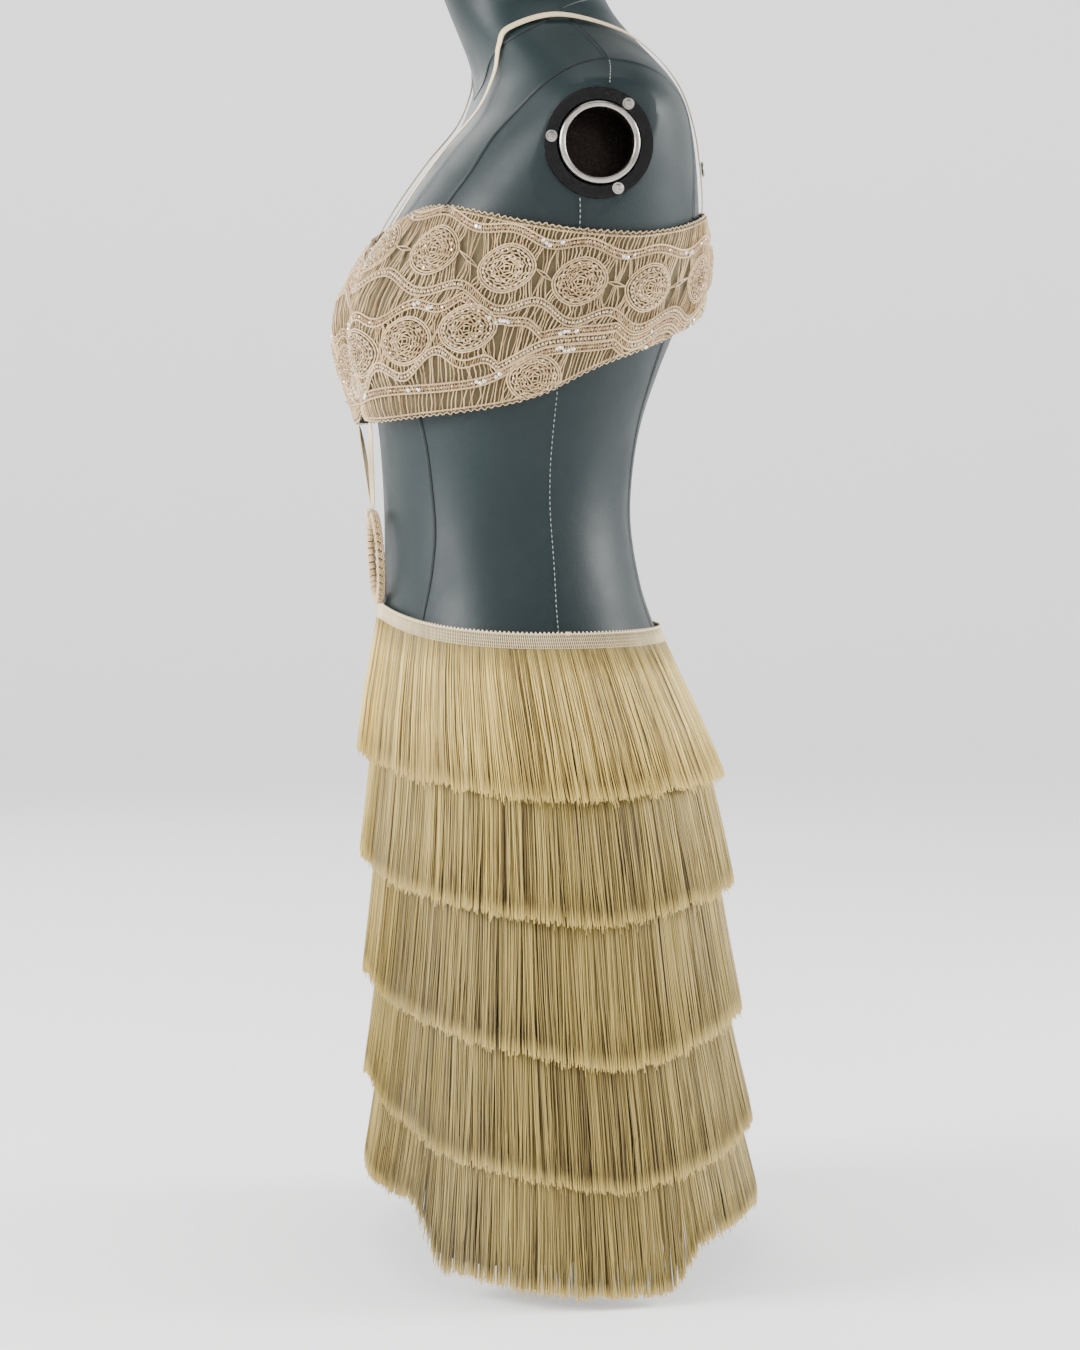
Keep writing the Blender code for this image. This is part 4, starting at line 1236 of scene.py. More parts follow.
def bar_foot(line, angle):
    """Lower end of a bar that stands on a line, kept inside the band."""
    return max(line(angle) + LINE_HALF_GAP, bottom_edge(angle) + BAR_MARGIN)


line_1 = guard_line(UPPER_ROW, 1, "upper_above")
line_2 = guard_line(UPPER_ROW, -1, "upper_below")
guard_above = guard_line(LOWER_ROW, 1, "lower_above")
guard_below = guard_line(LOWER_ROW, -1, "lower_below")


def line_5(angle):
    return min(row_height(LOWEST, angle), line_2(angle) - LINE_5_DROP)


def line_4(angle):
    return min(max(guard_below(angle), line_5(angle) + LEAST_LINE_GAP), line_2(angle) - LINE_4_DROP)


def line_3(angle):
    return min(max(guard_above(angle), line_4(angle) + LEAST_LINE_GAP), line_2(angle) - LINE_3_DROP)


LINES = (line_1, line_2, line_3, line_4, line_5)
BEADED_LINES = (line_2, line_4)
LACE_BASE = LINING_CLEARANCE + LINING_WALL + LACE_CLEARANCE


class Lace:
    """Yarns of the crochet over one half of the band, worked by angle in degrees and height."""

    def __init__(self, side, settings, chance):
        self.side = side
        self.settings = settings
        self.chance = chance
        self.yarns = []
        self.beads = []
        self.clear = []
        self.bronze = []

    def point(self, angle, height, lift=0.0):
        return band_skin(self.side * radians(angle), height, LACE_BASE + lift)

    def degree_per_metre(self, angle, height):
        here = band_face(radians(angle), height)
        there = band_face(radians(angle + 1), height)
        return 1 / (there - here).length

    def inside(self, angle, height, margin=EDGE_MARGIN):
        if not HALF_RANGE[0] < angle < HALF_RANGE[1]:
            return False
        return bottom_edge(angle) + margin < height < top_edge(angle) - margin

    def tone(self, middle=0.6, spread=0.25):
        return min(1.0, max(0.0, self.chance.gauss(middle, spread)))

    def add(self, spots, radii, tone, lift=0.0):
        """Adds the stretches of a run of (angle, height) spots that lie inside the band."""
        if not isinstance(radii, list):
            radii = [radii] * len(spots)
        points = []
        kept = []
        for (angle, height, *raise_by), radius in zip(spots, radii):
            if self.inside(angle, height):
                extra = raise_by[0] if raise_by else 0.0
                points.append(self.point(angle, height, lift + extra))
                kept.append(radius)
            else:
                self.close(points, kept, tone)
                points, kept = [], []
        self.close(points, kept, tone)

    def close(self, points, radii, tone):
        if len(points) > 1:
            self.yarns.append(Yarn(points, radii, tone))

    def walk(self, line, pitch):
        """Angles along a line at an even pitch."""
        angles = []
        angle, last = WALK_RANGE
        while angle < last:
            angles.append(angle)
            metre = self.degree_per_metre(angle, line(angle))
            rise = (line(angle + WALK_STEP) - line(angle)) * metre / WALK_STEP
            angle += pitch * metre / hypot(1, rise)
        return angles

    def chain(self, line, shift, radius, lift):
        """Knotted chain stitch along a line, moved up by a shift."""
        spots = []
        radii = []
        for i, angle in enumerate(self.walk(line, CHAIN_PITCH)):
            knot = i % 2
            sway = KNOT_SWAY if knot else -KNOT_SWAY
            spots.append((angle, line(angle) + shift + sway, KNOT_LIFT * knot))
            radii.append(radius * KNOT_SWELL[knot] * self.chance.uniform(0.92, 1.08))
        self.add(spots, radii, self.tone(0.7, 0.1), lift)

    def wavy_line(self, line):
        """Two chains with short stitches between them."""
        settings = self.settings
        for way in (1, -1):
            self.chain(line, way * LINE_HALF_GAP, settings.line_radius, 0.0005)
        if line not in BEADED_LINES:
            self.chain(line, 0.0, settings.line_radius * 0.85, 0.0001)
        for angle in self.walk(line, SHORT_STITCH_PITCH):
            lean = self.chance.uniform(-0.35, 0.35)
            spots = [(angle - lean, line(angle) - LINE_HALF_GAP), (angle + lean, line(angle) + LINE_HALF_GAP)]
            self.add(spots, settings.bar_radius * 1.15, self.tone(0.5), 0.0002)

    def bar(self, low, high):
        """One ladder bar between two (angle, height) ends, a little bowed, sometimes with a second yarn."""
        if high[1] - low[1] < SHORTEST_BAR:
            return
        chance = self.chance
        radius = self.settings.bar_radius
        bow = chance.uniform(-0.45, 0.45)
        middle = ((low[0] + high[0]) / 2 + bow, (low[1] + high[1]) / 2)
        thick = radius * chance.uniform(0.85, 1.2)
        spots = [low, middle, high]
        self.add(spots, [thick * 1.1, thick, thick * 1.1], self.tone(), 0.0)
        if chance.random() < 0.30:
            side = chance.choice((-1, 1)) * 0.42
            spots = [(low[0] + side, low[1]), (middle[0] - side * 0.4, middle[1]), (high[0] + side, high[1])]
            self.add(spots, thick * 0.8, self.tone(), 0.0004)

    def ladder(self, upper, lower, lean, skip=None):
        for angle in self.walk(lower, self.settings.bar_pitch):
            if skip and skip(angle):
                continue
            shift = lean + self.chance.uniform(-0.3, 0.3)
            top = (angle + shift, bar_top(upper, angle + shift))
            self.bar((angle, bar_foot(lower, angle)), top)

    def rim(self, centre, share, turn):
        """Spot on a medallion at a share of its size, pointed a little towards its necks."""
        angle, height = centre
        power = MEDALLION_POWER
        reach = (abs(cos(turn)) ** power + abs(sin(turn)) ** power) ** (-1 / power)
        across = share * MEDALLION_HALF_WIDTH * reach * cos(turn)
        up = share * MEDALLION_HALF_HEIGHT * reach * sin(turn)
        return angle + across * self.degree_per_metre(angle, height), height + up

    def ring(self, centre, share, count, radius, wobble, tone, lift):
        spots = []
        radii = []
        for i in range(count + 1):
            turn = 2 * pi * i / count
            odd = i % 2
            spots.append((*self.rim(centre, share + (wobble if odd else -wobble), turn), 0.0003 * odd))
            radii.append(radius * (1.15 if odd else 0.85))
        self.add(spots, radii, tone, lift)

    def medallion(self, centre, beaded, above, below):
        """Round crochet motif: a smooth rim, knotted rings inside, and bars out to the lines."""
        settings = self.settings
        line = settings.line_radius
        for share, lift in RIM_RINGS:
            self.ring(centre, share, RIM_POINTS, line * 0.9, 0.0, self.tone(0.8, 0.08), lift)
        for step, share in enumerate(KNOT_RINGS):
            count = max(8, round(40 * share))
            lift = CROWN_LIFT + CROWN_RISE * (1 - share) * (1 if step % 2 else 0.6)
            self.ring(centre, share, count + count % 2, settings.bar_radius * 1.5, KNOT_WOBBLE,
                      self.tone(0.65, 0.2), lift)
        for i in range(INNER_BARS):
            turn = 2 * pi * (i + self.chance.uniform(-0.3, 0.3)) / INNER_BARS
            start = self.chance.uniform(0.22, 0.7)
            low = self.rim(centre, start, turn)
            high = self.rim(centre, start + 0.2, turn + self.chance.uniform(-0.15, 0.15))
            self.add([low, high], settings.bar_radius * 1.1, self.tone(0.5), CROWN_LIFT + 0.0007)
        for i in range(OUTER_BARS):
            turn = 2 * pi * (i + 0.5) / OUTER_BARS
            if abs(sin(turn)) < NECK_SIDE:
                continue
            start = self.rim(centre, 1.0, turn)
            spread = 1.0 + 0.22 * abs(cos(turn))
            angle = centre[0] + (start[0] - centre[0]) * spread + self.chance.uniform(-0.2, 0.2)
            if turn < pi:
                self.bar(start, (angle, bar_top(above, angle)))
            else:
                self.bar((angle, bar_foot(below, angle)), start)
        if beaded:
            for count, share, first, lift in BEAD_RINGS:
                for i in range(count):
                    self.bead(*self.rim(centre, share, 2 * pi * (i + first) / count), lift)
        else:
            for count, share, lift in SEQUIN_RINGS:
                for i in range(count):
                    spot = self.rim(centre, share, 2 * pi * i / count)
                    self.flat_bead(self.bronze, *spot, lift, SMALL_SEQUIN)

    def neck(self, start, end, above, below):
        """Twisted yarns from one medallion to the next, with a fan of long bars above and below."""
        left = self.rim(start, 1.0, 0.0)
        right = self.rim(end, 1.0, pi)
        middle = ((left[0] + right[0]) / 2, (left[1] + right[1]) / 2)
        for shift in NECK_STRANDS:
            spots = [left, (middle[0], middle[1] + shift), right]
            self.add(spots, self.settings.bar_radius, self.tone(0.65, 0.1), 0.0006)
        metre = self.degree_per_metre(*middle)
        for shift in NECK_FAN:
            angle = middle[0] + shift * metre
            near = middle[0] + 0.3 * shift * metre
            self.bar((near, middle[1] + NECK_HALF_GAP), (angle, bar_top(above, angle)))
            self.bar((angle, bar_foot(below, angle)), (near, middle[1] - NECK_HALF_GAP))

    def edge(self, line, way):
        """Chain along an edge of the band, with small loops standing out of it."""
        inset = -way * EDGE_INSET
        self.chain(line, inset, self.settings.line_radius * 0.95, -0.0006)
        self.chain(line, inset * 2.1, self.settings.line_radius * 0.8, -0.0002)
        points = []
        for i, angle in enumerate(self.walk(line, LOOP_PITCH)):
            reach = LOOP_REACHES[i % 4] * self.chance.uniform(0.5, 1.25)
            points.append(self.point(angle, line(angle) + way * reach - way * 0.0008, -0.0008))
        self.yarns.append(Yarn(points, self.settings.bar_radius * 0.9, 0.8))

    def bead(self, angle, height, lift):
        if self.inside(angle, height, SEWN_MARGIN):
            place = self.point(angle, height, lift)
            self.beads.append((place, (self.point(angle + 0.3, height, lift) - place).normalized()))

    def flat_bead(self, pile, angle, height, lift, size=1.0):
        """A sequin with a little tilt of its own."""
        if not self.inside(angle, height, SEWN_MARGIN):
            return
        out = outward(band_face, self.side * radians(angle), height)
        tilt = Vector([self.chance.uniform(-0.4, 0.4) for _ in range(3)])
        pile.append((self.point(angle, height, lift), (out + tilt).normalized(), size))

    def by_edge_medallion(self, angle):
        away = (angle - EDGE_MEDALLION[0]) / self.degree_per_metre(*EDGE_MEDALLION)
        return abs(away) < MEDALLION_HALF_WIDTH

    def strings(self):
        """Pearls and sequins sewn along the lines."""
        chance = self.chance
        for line in BEADED_LINES:
            for angle in self.walk(line, BEAD_PITCH):
                if sin(radians(angle) * 9) > -0.8:
                    self.bead(angle, line(angle), 0.0010)
        for line in (line_1, line_3, line_5):
            for angle in self.walk(line, SEQUIN_PITCH):
                at_neck = row_wave(UPPER_ROW, angle + (0 if line is line_1 else NECK_TURN)) < NECK_WAVE
                if at_neck:
                    if chance.random() < 0.5:
                        height = line(angle) + chance.uniform(-0.0016, 0.0016)
                        self.flat_bead(self.clear, angle, height, 0.0016)
                elif chance.random() < 0.85:
                    self.flat_bead(self.bronze, angle, line(angle), 0.0012, 0.72)

    def make(self):
        for line in LINES:
            self.wavy_line(line)
        self.edge(top_edge, 1)
        self.edge(bottom_edge, -1)
        rows = ((UPPER_MEDALLIONS, line_1, line_2), (LOWER_MEDALLIONS, line_3, line_4))
        self.medallion(EDGE_MEDALLION, False, line_5, bottom_edge)
        for row, above, below in rows:
            for i, centre in enumerate(row):
                self.medallion(centre, i % 2 == (row is UPPER_MEDALLIONS), above, below)
            for start, end in zip(row, row[1:]):
                self.neck(start, end, above, below)
        self.ladder(over_top, line_1, 0.4)
        self.ladder(line_2, line_3, 0.9)
        self.ladder(line_4, line_5, -0.8)
        self.ladder(line_5, under_bottom, 0.5, skip=self.by_edge_medallion)
        self.ladder(line_3, line_4, 0.4, skip=lambda angle: angle < LOWER_ROW_END)
        self.strings()


BEAD_SHAPE = ((-0.85, 0.45), (-0.55, 0.88), (0.0, 1.0), (0.55, 0.88), (0.85, 0.45))
SEQUIN_THICKNESS = 0.0005


def bead_mesh(name, beads, radius):
    """Small round beads, each (place, thread direction), with flat ends where the thread goes in."""
    yarns = []
    for place, way in beads:
        points = [place + way * (along * radius) for along, _ in BEAD_SHAPE]
        yarns.append(Yarn(points, [size * radius for _, size in BEAD_SHAPE]))
    return yarn_mesh(name, yarns, 7)


def sequin_mesh(name, sequins, radius):
    """Cupped discs, each (place, facing, size)."""
    yarns = []
    for place, facing, size in sequins:
        points = [place, place + facing * SEQUIN_THICKNESS]
        yarns.append(Yarn(points, [radius * size, radius * size * 0.62]))
    mesh = yarn_mesh(name, yarns, 9)
    mesh.set_sharp_from_angle(angle=radians(20))
    return mesh


class DRESS_OT_lining(bpy.types.Operator):
    """Wrap the lining of the top band round the form"""

    bl_idname = "dress.lining"
    bl_label = "Band Lining"

    def execute(self, context):
        settings = context.scene.dress_crochet

        def place(share_round, share_up):
            angle = 2 * pi * share_round
            low = band_edge(angle, "bottom")
            return band_skin(angle, low + share_up * (band_edge(angle, "top") - low), LINING_CLEARANCE)

        bm = wrapped_grid(240, 16, place)
        mesh = finished_mesh("band_cloth", bm, 80)
        mesh = applied(mesh, [("SOLIDIFY", {"thickness": LINING_WALL, "offset": 1.0})])
        # The lining colour is partly painted shade: darkened for the gaps under the lace.
        cloth = woven_cloth("band_lining", tuple(settings.lining), 620, 110)
        add_piece("band_cloth", mesh, cloth, ["band_lining"])
        return {"FINISHED"}


class DRESS_OT_crochet(bpy.types.Operator):
    """Work the crochet lace over both halves of the band, with its beads and sequins"""

    bl_idname = "dress.crochet"
    bl_label = "Crochet Lace"

    def execute(self, context):
        settings = context.scene.dress_crochet
        yarn = crochet_yarn("crochet_yarn", tuple(settings.dark), tuple(settings.light))
        beads, clear, bronze, lace = [], [], [], []
        for side, word in SIDES:
            half = Lace(side, settings, random.Random(23))
            half.make()
            lace.append(add_yarns("crochet_" + word, half.yarns, 4, yarn, ["lace_" + word]))
            beads += half.beads
            clear += half.clear
            bronze += half.bronze
        pearls = pearl("seed_pearl", linear(170, 148, 112), linear(240, 228, 200))
        glass = sequin("clear_sequin", linear(214, 206, 190), linear(255, 253, 248), 0.55)
        copper = sequin("bronze_sequin", linear(140, 106, 78), linear(206, 170, 136), 0.55)
        for name, make, spots, size, finish in (
            ("seed_beads", bead_mesh, beads, settings.bead_radius, pearls),
            ("clear_sequins", sequin_mesh, clear, settings.sequin_radius, glass),
            ("bronze_sequins", sequin_mesh, bronze, settings.sequin_radius, copper),
        ):
            lace.append(add_piece(name, make(name, spots, size), finish))
        declare_band_cloth()
        return {"FINISHED"}


STRIP_COLUMNS = 240
STRIP_ROWS = 10


def band_cloth_edges(angle):
    return band_edge(angle, "bottom"), band_edge(angle, "top")


def strip_size(surface, edges):
    """Width half way up, greatest height along the cloth, and area of the strip that a tube was cut from."""
    width = area = tallest = 0.0
    for i in range(STRIP_COLUMNS):
        near = 2 * pi * i / STRIP_COLUMNS
        far = near + 2 * pi / STRIP_COLUMNS
        low, high = edges(near)
        pitch = (high - low) / STRIP_ROWS
        tall = 0.0
        for row in range(STRIP_ROWS):
            foot = low + row * pitch
            across = surface(far, foot + pitch / 2) - surface(near, foot + pitch / 2)
            up = surface(near, foot + pitch) - surface(near, foot)
            area += across.cross(up).length
            tall += up.length
        tallest = max(tallest, tall)
        middle = (low + high) / 2
        width += (surface(far, middle) - surface(near, middle)).length
    return width, tallest, area


def band_cloth_middle(angle, height):
    return band_skin(angle, height, LINING_CLEARANCE + LINING_WALL / 2)


def skirt_cloth_middle(angle, height):
    return skirt_point(angle, height, FOUNDATION_WALL / 2)


def declare_band_cloth():
    size = strip_size(band_cloth_middle, band_cloth_edges)


# Straps and ring


def crest_height():
    """Height of the shoulder line where the strap crosses it."""
    low, high = STRAP_CREST_RANGE
    for _ in range(HALVINGS):
        trial = (low + high) / 2
        if body_point(pi / 2, trial).x > STRAP_CREST_SIDE:
            low = trial
        else:
            high = trial
    return low


def strap_foot(behind):
    """Where a strap meets the band's upper edge: the surface, the angle, the height and the lift."""
    side = STRAP_FOOT_SIDES[1 if behind else 0]
    level = STRAP_FOOT_LEVEL
    for _ in range(STRAP_FOOT_ROUNDS):
        angle = angle_at_side(band_point, level, side, behind)
        level = band_edge(angle, "top")
    return band_point, angle, level + SEAM_GAP + STRAP_WIDTH / 4, LINING_CLEARANCE + LINING_WALL / 2


def strap_stations():
    """Surface, angle, height and lift of a strap's points, from the cup over the shoulder to the back."""
    half = STRAP_THICKNESS / 2
    stations = [strap_foot(False)]
    for behind, rows in ((False, STRAP_FRONT), (True, STRAP_BACK)):
        for height, side, lift in rows:
            angle = angle_at_side(body_point, height, side, behind)
            stations.append((body_point, angle, height, lift + half))
        if not behind:
            stations.append((body_point, pi / 2, crest_height(), STRAP_CREST_LIFT + half))
    return stations + [strap_foot(True)]


def ribbon_mesh(name, path, outs, width, thickness):
    """Flat strap with soft edges: a small section carried along the path."""
    bm = bmesh.new()
    edge = thickness * 0.35
    section = ((-width / 2, 0), (-width / 2 + edge, thickness / 2), (width / 2 - edge, thickness / 2),
               (width / 2, 0), (width / 2 - edge, -thickness / 2), (-width / 2 + edge, -thickness / 2))
    edges = []
    last = None
    for i, point in enumerate(path):
        ahead = path[min(i + 1, len(path) - 1)] - path[max(i - 1, 0)]
        across = ahead.cross(outs[i]).normalized()
        rise = across.cross(ahead).normalized()
        verts = [bm.verts.new(point + across * x + rise * y) for x, y in section]
        edges = [bm.edges.new(pair) for pair in zip(verts, verts[1:] + verts[:1])]
        if last:
            bmesh.ops.bridge_loops(bm, edges=last + edges)
        last = edges
    close_openings(bm)
    return finished_mesh(name, bm, 50)


class DRESS_OT_straps(bpy.types.Operator):
    """Sew on the shoulder straps with their sliders, and the two straps that hold the ring"""

    bl_idname = "dress.straps"
    bl_label = "Straps"

    def execute(self, context):
        settings = context.scene.dress_trim
        satin = satin_tape("strap_satin", tuple(settings.dark), tuple(settings.light))
        steel = turned_steel("slider_steel")
        points = []
        outs = []
        for surface, angle, height, lift in strap_stations():
            out = outward(surface, angle, height)
            points.append(surface(angle, height) + out * lift)
            outs.append(out)
        path = smooth_path(points, 8)
        path_outs = smooth_path(outs, 8)
        for side, word in SIDES:
            mirror = Matrix.Diagonal((side, 1, 1))
            here = [mirror @ point for point in path]
            out_here = [mirror @ out for out in path_outs]
            name = "shoulder_strap_" + word
            mesh = ribbon_mesh(name, here, out_here, STRAP_WIDTH, STRAP_THICKNESS)
            add_piece(name, mesh, satin, ["strap_" + word])
            self.slider(word, here, out_here, steel)
            self.front_strap(side, word, satin)
        return {"FINISHED"}

    def slider(self, word, path, outs, steel):
        """Wire ring that lies on the strap."""
        behind = range(len(path) // 2, len(path) - 1)
        at = min(behind, key=lambda i: abs(path[i].z - SLIDER_HEIGHT))
        along = (path[at + 1] - path[at - 1]).normalized()
        across = along.cross(outs[at]).normalized()
        out = across.cross(along).normalized()
        centre = path[at] + out * (STRAP_THICKNESS / 2 + SEAM_GAP + SLIDER_WIRE_RADIUS)
        profile = []
        for turn in angles_round(10):
            profile.append((SLIDER_WIRE_RADIUS * sin(turn), SLIDER_RADIUS + SLIDER_WIRE_RADIUS * cos(turn)))
        bm = spun(centre, out, across, profile, 40)
        add_solid("slider_ring_" + word, bm, steel, "strap_slider_" + word)

    def front_strap(self, side, word, satin):
        angle = angle_at_side(band_point, FRONT_STRAP_LEVEL, FRONT_STRAP_SIDE, False)
        level = band_edge(angle, "bottom") - SEAM_GAP - FRONT_STRAP_WIDTH / 4
        start = band_point(angle, level, LINING_CLEARANCE + LINING_WALL / 2)
        end = Vector((FRONT_STRAP_ENDS, RING_TOP_FRONT + RING_TUBE_RADIUS, RING_TOP + FRONT_STRAP_RISE))
        path = []
        count = 18
        for i in range(count):
            share = i / (count - 1)
            point = start.lerp(end, share)
            point.x = side * (point.x - FRONT_STRAP_BOW * sin(pi * share))
            path.append(point)
        name = "ring_strap_" + word
        front = RING_TOP_FRONT - STRAP_THICKNESS / 2 - STRAP_OVER_RING
        for rise in STRAP_FOLD:
            path.append(Vector((side * FRONT_STRAP_ENDS, front, RING_TOP + rise)))
        outs = []
        for i in range(len(path)):
            turn = STRAP_TWIST * max(0.0, sin(pi * min(1.0, i / (count - 1)))) ** 0.5
            outs.append(Vector((side * sin(turn), -cos(turn), 0)))
        mesh = ribbon_mesh(name, path, outs, FRONT_STRAP_WIDTH, STRAP_THICKNESS)
        add_piece(name, mesh, satin, ["front_strap_" + word])


class DRESS_OT_ring(bpy.types.Operator):
    """Cover the belly ring in crochet stitches"""

    bl_idname = "dress.ring"
    bl_label = "Covered Ring"

    def execute(self, context):
        settings = context.scene.dress_trim
        crochet = context.scene.dress_crochet
        top = Vector((0, RING_TOP_FRONT + RING_TUBE_RADIUS, RING_TOP))
        bottom = Vector((0, RING_BOTTOM_FRONT + RING_TUBE_RADIUS, RING_BOTTOM))
        centre = (top + bottom) / 2
        up = (top - bottom).normalized()
        across = Vector((1, 0, 0))
        out = across.cross(up)
        tube = RING_TUBE_RADIUS - 0.0003
        radius = (top - bottom).length / 2 - RING_TUBE_RADIUS - 0.0005
        profile = [(tube * sin(turn), radius + tube * cos(turn)) for turn in angles_round(14)]
        core = spun(centre, out, up, profile, 96)
        dark = scaled(crochet.dark, 0.12)
        add_solid("ring_core", core, seam_thread("ring_shadow", dark), "belly_ring")

        def on_tube(turn, small, lift):
            spoke = across * sin(turn) + up * cos(turn)
            reach = tube + lift
            return centre + spoke * (radius + reach * cos(small)) + out * (reach * sin(small))

        yarns = []
        turns = settings.ring_stitches
        chance = random.Random(5)
        for stitch in range(turns):
            for strand in (-0.30, -0.10, 0.10, 0.30):
                points = []
                for step in range(13):
                    share = step / 12
                    small = 2 * pi * share
                    turn = 2 * pi * (stitch + strand + 0.2 * share) / turns
                    points.append(on_tube(turn, small, 0.0004))
                yarns.append(Yarn(points, 0.00070, chance.uniform(0.5, 0.9)))
        for way in (1, -1):
            rim = []
            radii = []
            for step in range(turns * 4 + 1):
                turn = 2 * pi * step / (turns * 4)
                wave = 0.72 + 0.14 * sin(step * pi / 2)
                rim.append(on_tube(turn, way * wave, 0.0008))
                radii.append(0.00075 if step % 2 else 0.00055)
            yarns.append(Yarn(rim, radii, 0.85))
        yarn = crochet_yarn("ring_yarn", tuple(crochet.dark), tuple(crochet.light))
        add_yarns("ring_stitches", yarns, 5, yarn)
        return {"FINISHED"}


# The skirt

NET_LINES = (0.0007, 0.0032, 0.0057, 0.0082, 0.0106)
NET_STEPS = 240
NET_RIBS = 620
NET_LOOPS = 290


def skirt_cloth_edges(angle):
    """Lower and upper edge of the plain cloth that the fringe is sewn to."""
    return tape_top(angle, 5) - TAPE_HEIGHT - FOUNDATION_HEM, tape_top(angle, 1) - FOUNDATION_DROP


class DRESS_OT_skirt(bpy.types.Operator):
    """Sew the skirt's plain cloth and the netted heading tapes"""

    bl_idname = "dress.skirt"
    bl_label = "Skirt Cloth"

    def execute(self, context):
        fringe = context.scene.dress_fringe
        tint = scaled(fringe.dark, 0.62)
        cloth = woven_cloth("skirt_cloth", tint, 900, 380)

        def place(share_round, share_up):
            angle = 2 * pi * share_round
            low, high = skirt_cloth_edges(angle)
            return skirt_point(angle, low + share_up * (high - low))

        mesh = finished_mesh("skirt_cloth", wrapped_grid(128, 48, place), 80)
        mesh = applied(mesh, [("SOLIDIFY", {"thickness": FOUNDATION_WALL, "offset": 1.0})])
        add_piece("skirt_cloth", mesh, cloth, ["skirt_foundation"])
        for tier in TIERS:
            self.tape(context, tier)
        self.netting(context)
        return {"FINISHED"}

    def tape(self, context, tier):
        trim = context.scene.dress_trim
        offset = FOUNDATION_WALL + TAPE_CLEARANCE

        def place(share_round, share_up):
            angle = 2 * pi * share_round
            return skirt_point(angle, tape_top(angle, tier) - TAPE_HEIGHT * (1 - share_up), offset)

        name = "heading_tape_%d" % tier
        mesh = finished_mesh(name, wrapped_grid(150, 3, place), 80)
        mesh = applied(mesh, [("SOLIDIFY", {"thickness": TAPE_WALL * 0.5, "offset": 1.0})])
        tint = tuple(trim.dark) if tier == 1 else tuple(context.scene.dress_fringe.dark)
        tape = woven_cloth("tape_%d" % tier, scaled(tint, 0.4), 760, 8)
        add_piece(name, mesh, tape)

    def netting(self, context):
        """Raised net of the waistband: lines round it, short bars between them and loops along its top."""
        offset = FOUNDATION_WALL + TAPE_CLEARANCE + TAPE_WALL * 0.60
        chance = random.Random(3)
        yarns = []

        def point(angle, depth, lift=0.0):
            return skirt_point(angle, tape_top(angle, 1) - depth, offset + lift)

        whole_turn = [2 * pi * i / NET_STEPS for i in range(NET_STEPS + 1)]
        for depth in NET_LINES:
            yarns.append(Yarn([point(angle, depth) for angle in whole_turn], 0.00026, 0.5))
        for angle in angles_round(NET_RIBS):
            points = [point(angle, depth, 0.0003) for depth in (0.0003, 0.0056, 0.0108)]
            yarns.append(Yarn(points, 0.00034, chance.uniform(0.5, 0.95)))
        yarns.append(Yarn([point(angle, 0.0, 0.0002) for angle in whole_turn], 0.00050, 0.85))
        for angle in angles_round(NET_LOOPS):
            points = [point(angle, -rise, 0.0002) for rise in (-0.0004, 0.0007, 0.0016)]
            yarns.append(Yarn(points, [0.0006, 0.0010, 0.0005], 0.95))
        for side, _ in SIDES:
            knot = point(side * radians(96), -0.0002, 0.0006)
            lean = Vector((0, 0.0016, 0.0004))
            yarns.append(Yarn([knot - lean, knot, knot + lean], [0.0010, 0.0017, 0.0008], 0.7))
        trim = context.scene.dress_trim
        yarn = crochet_yarn("netting_yarn", tuple(trim.dark), tuple(trim.light))
        add_yarns("waistband_net", yarns, 4, yarn)


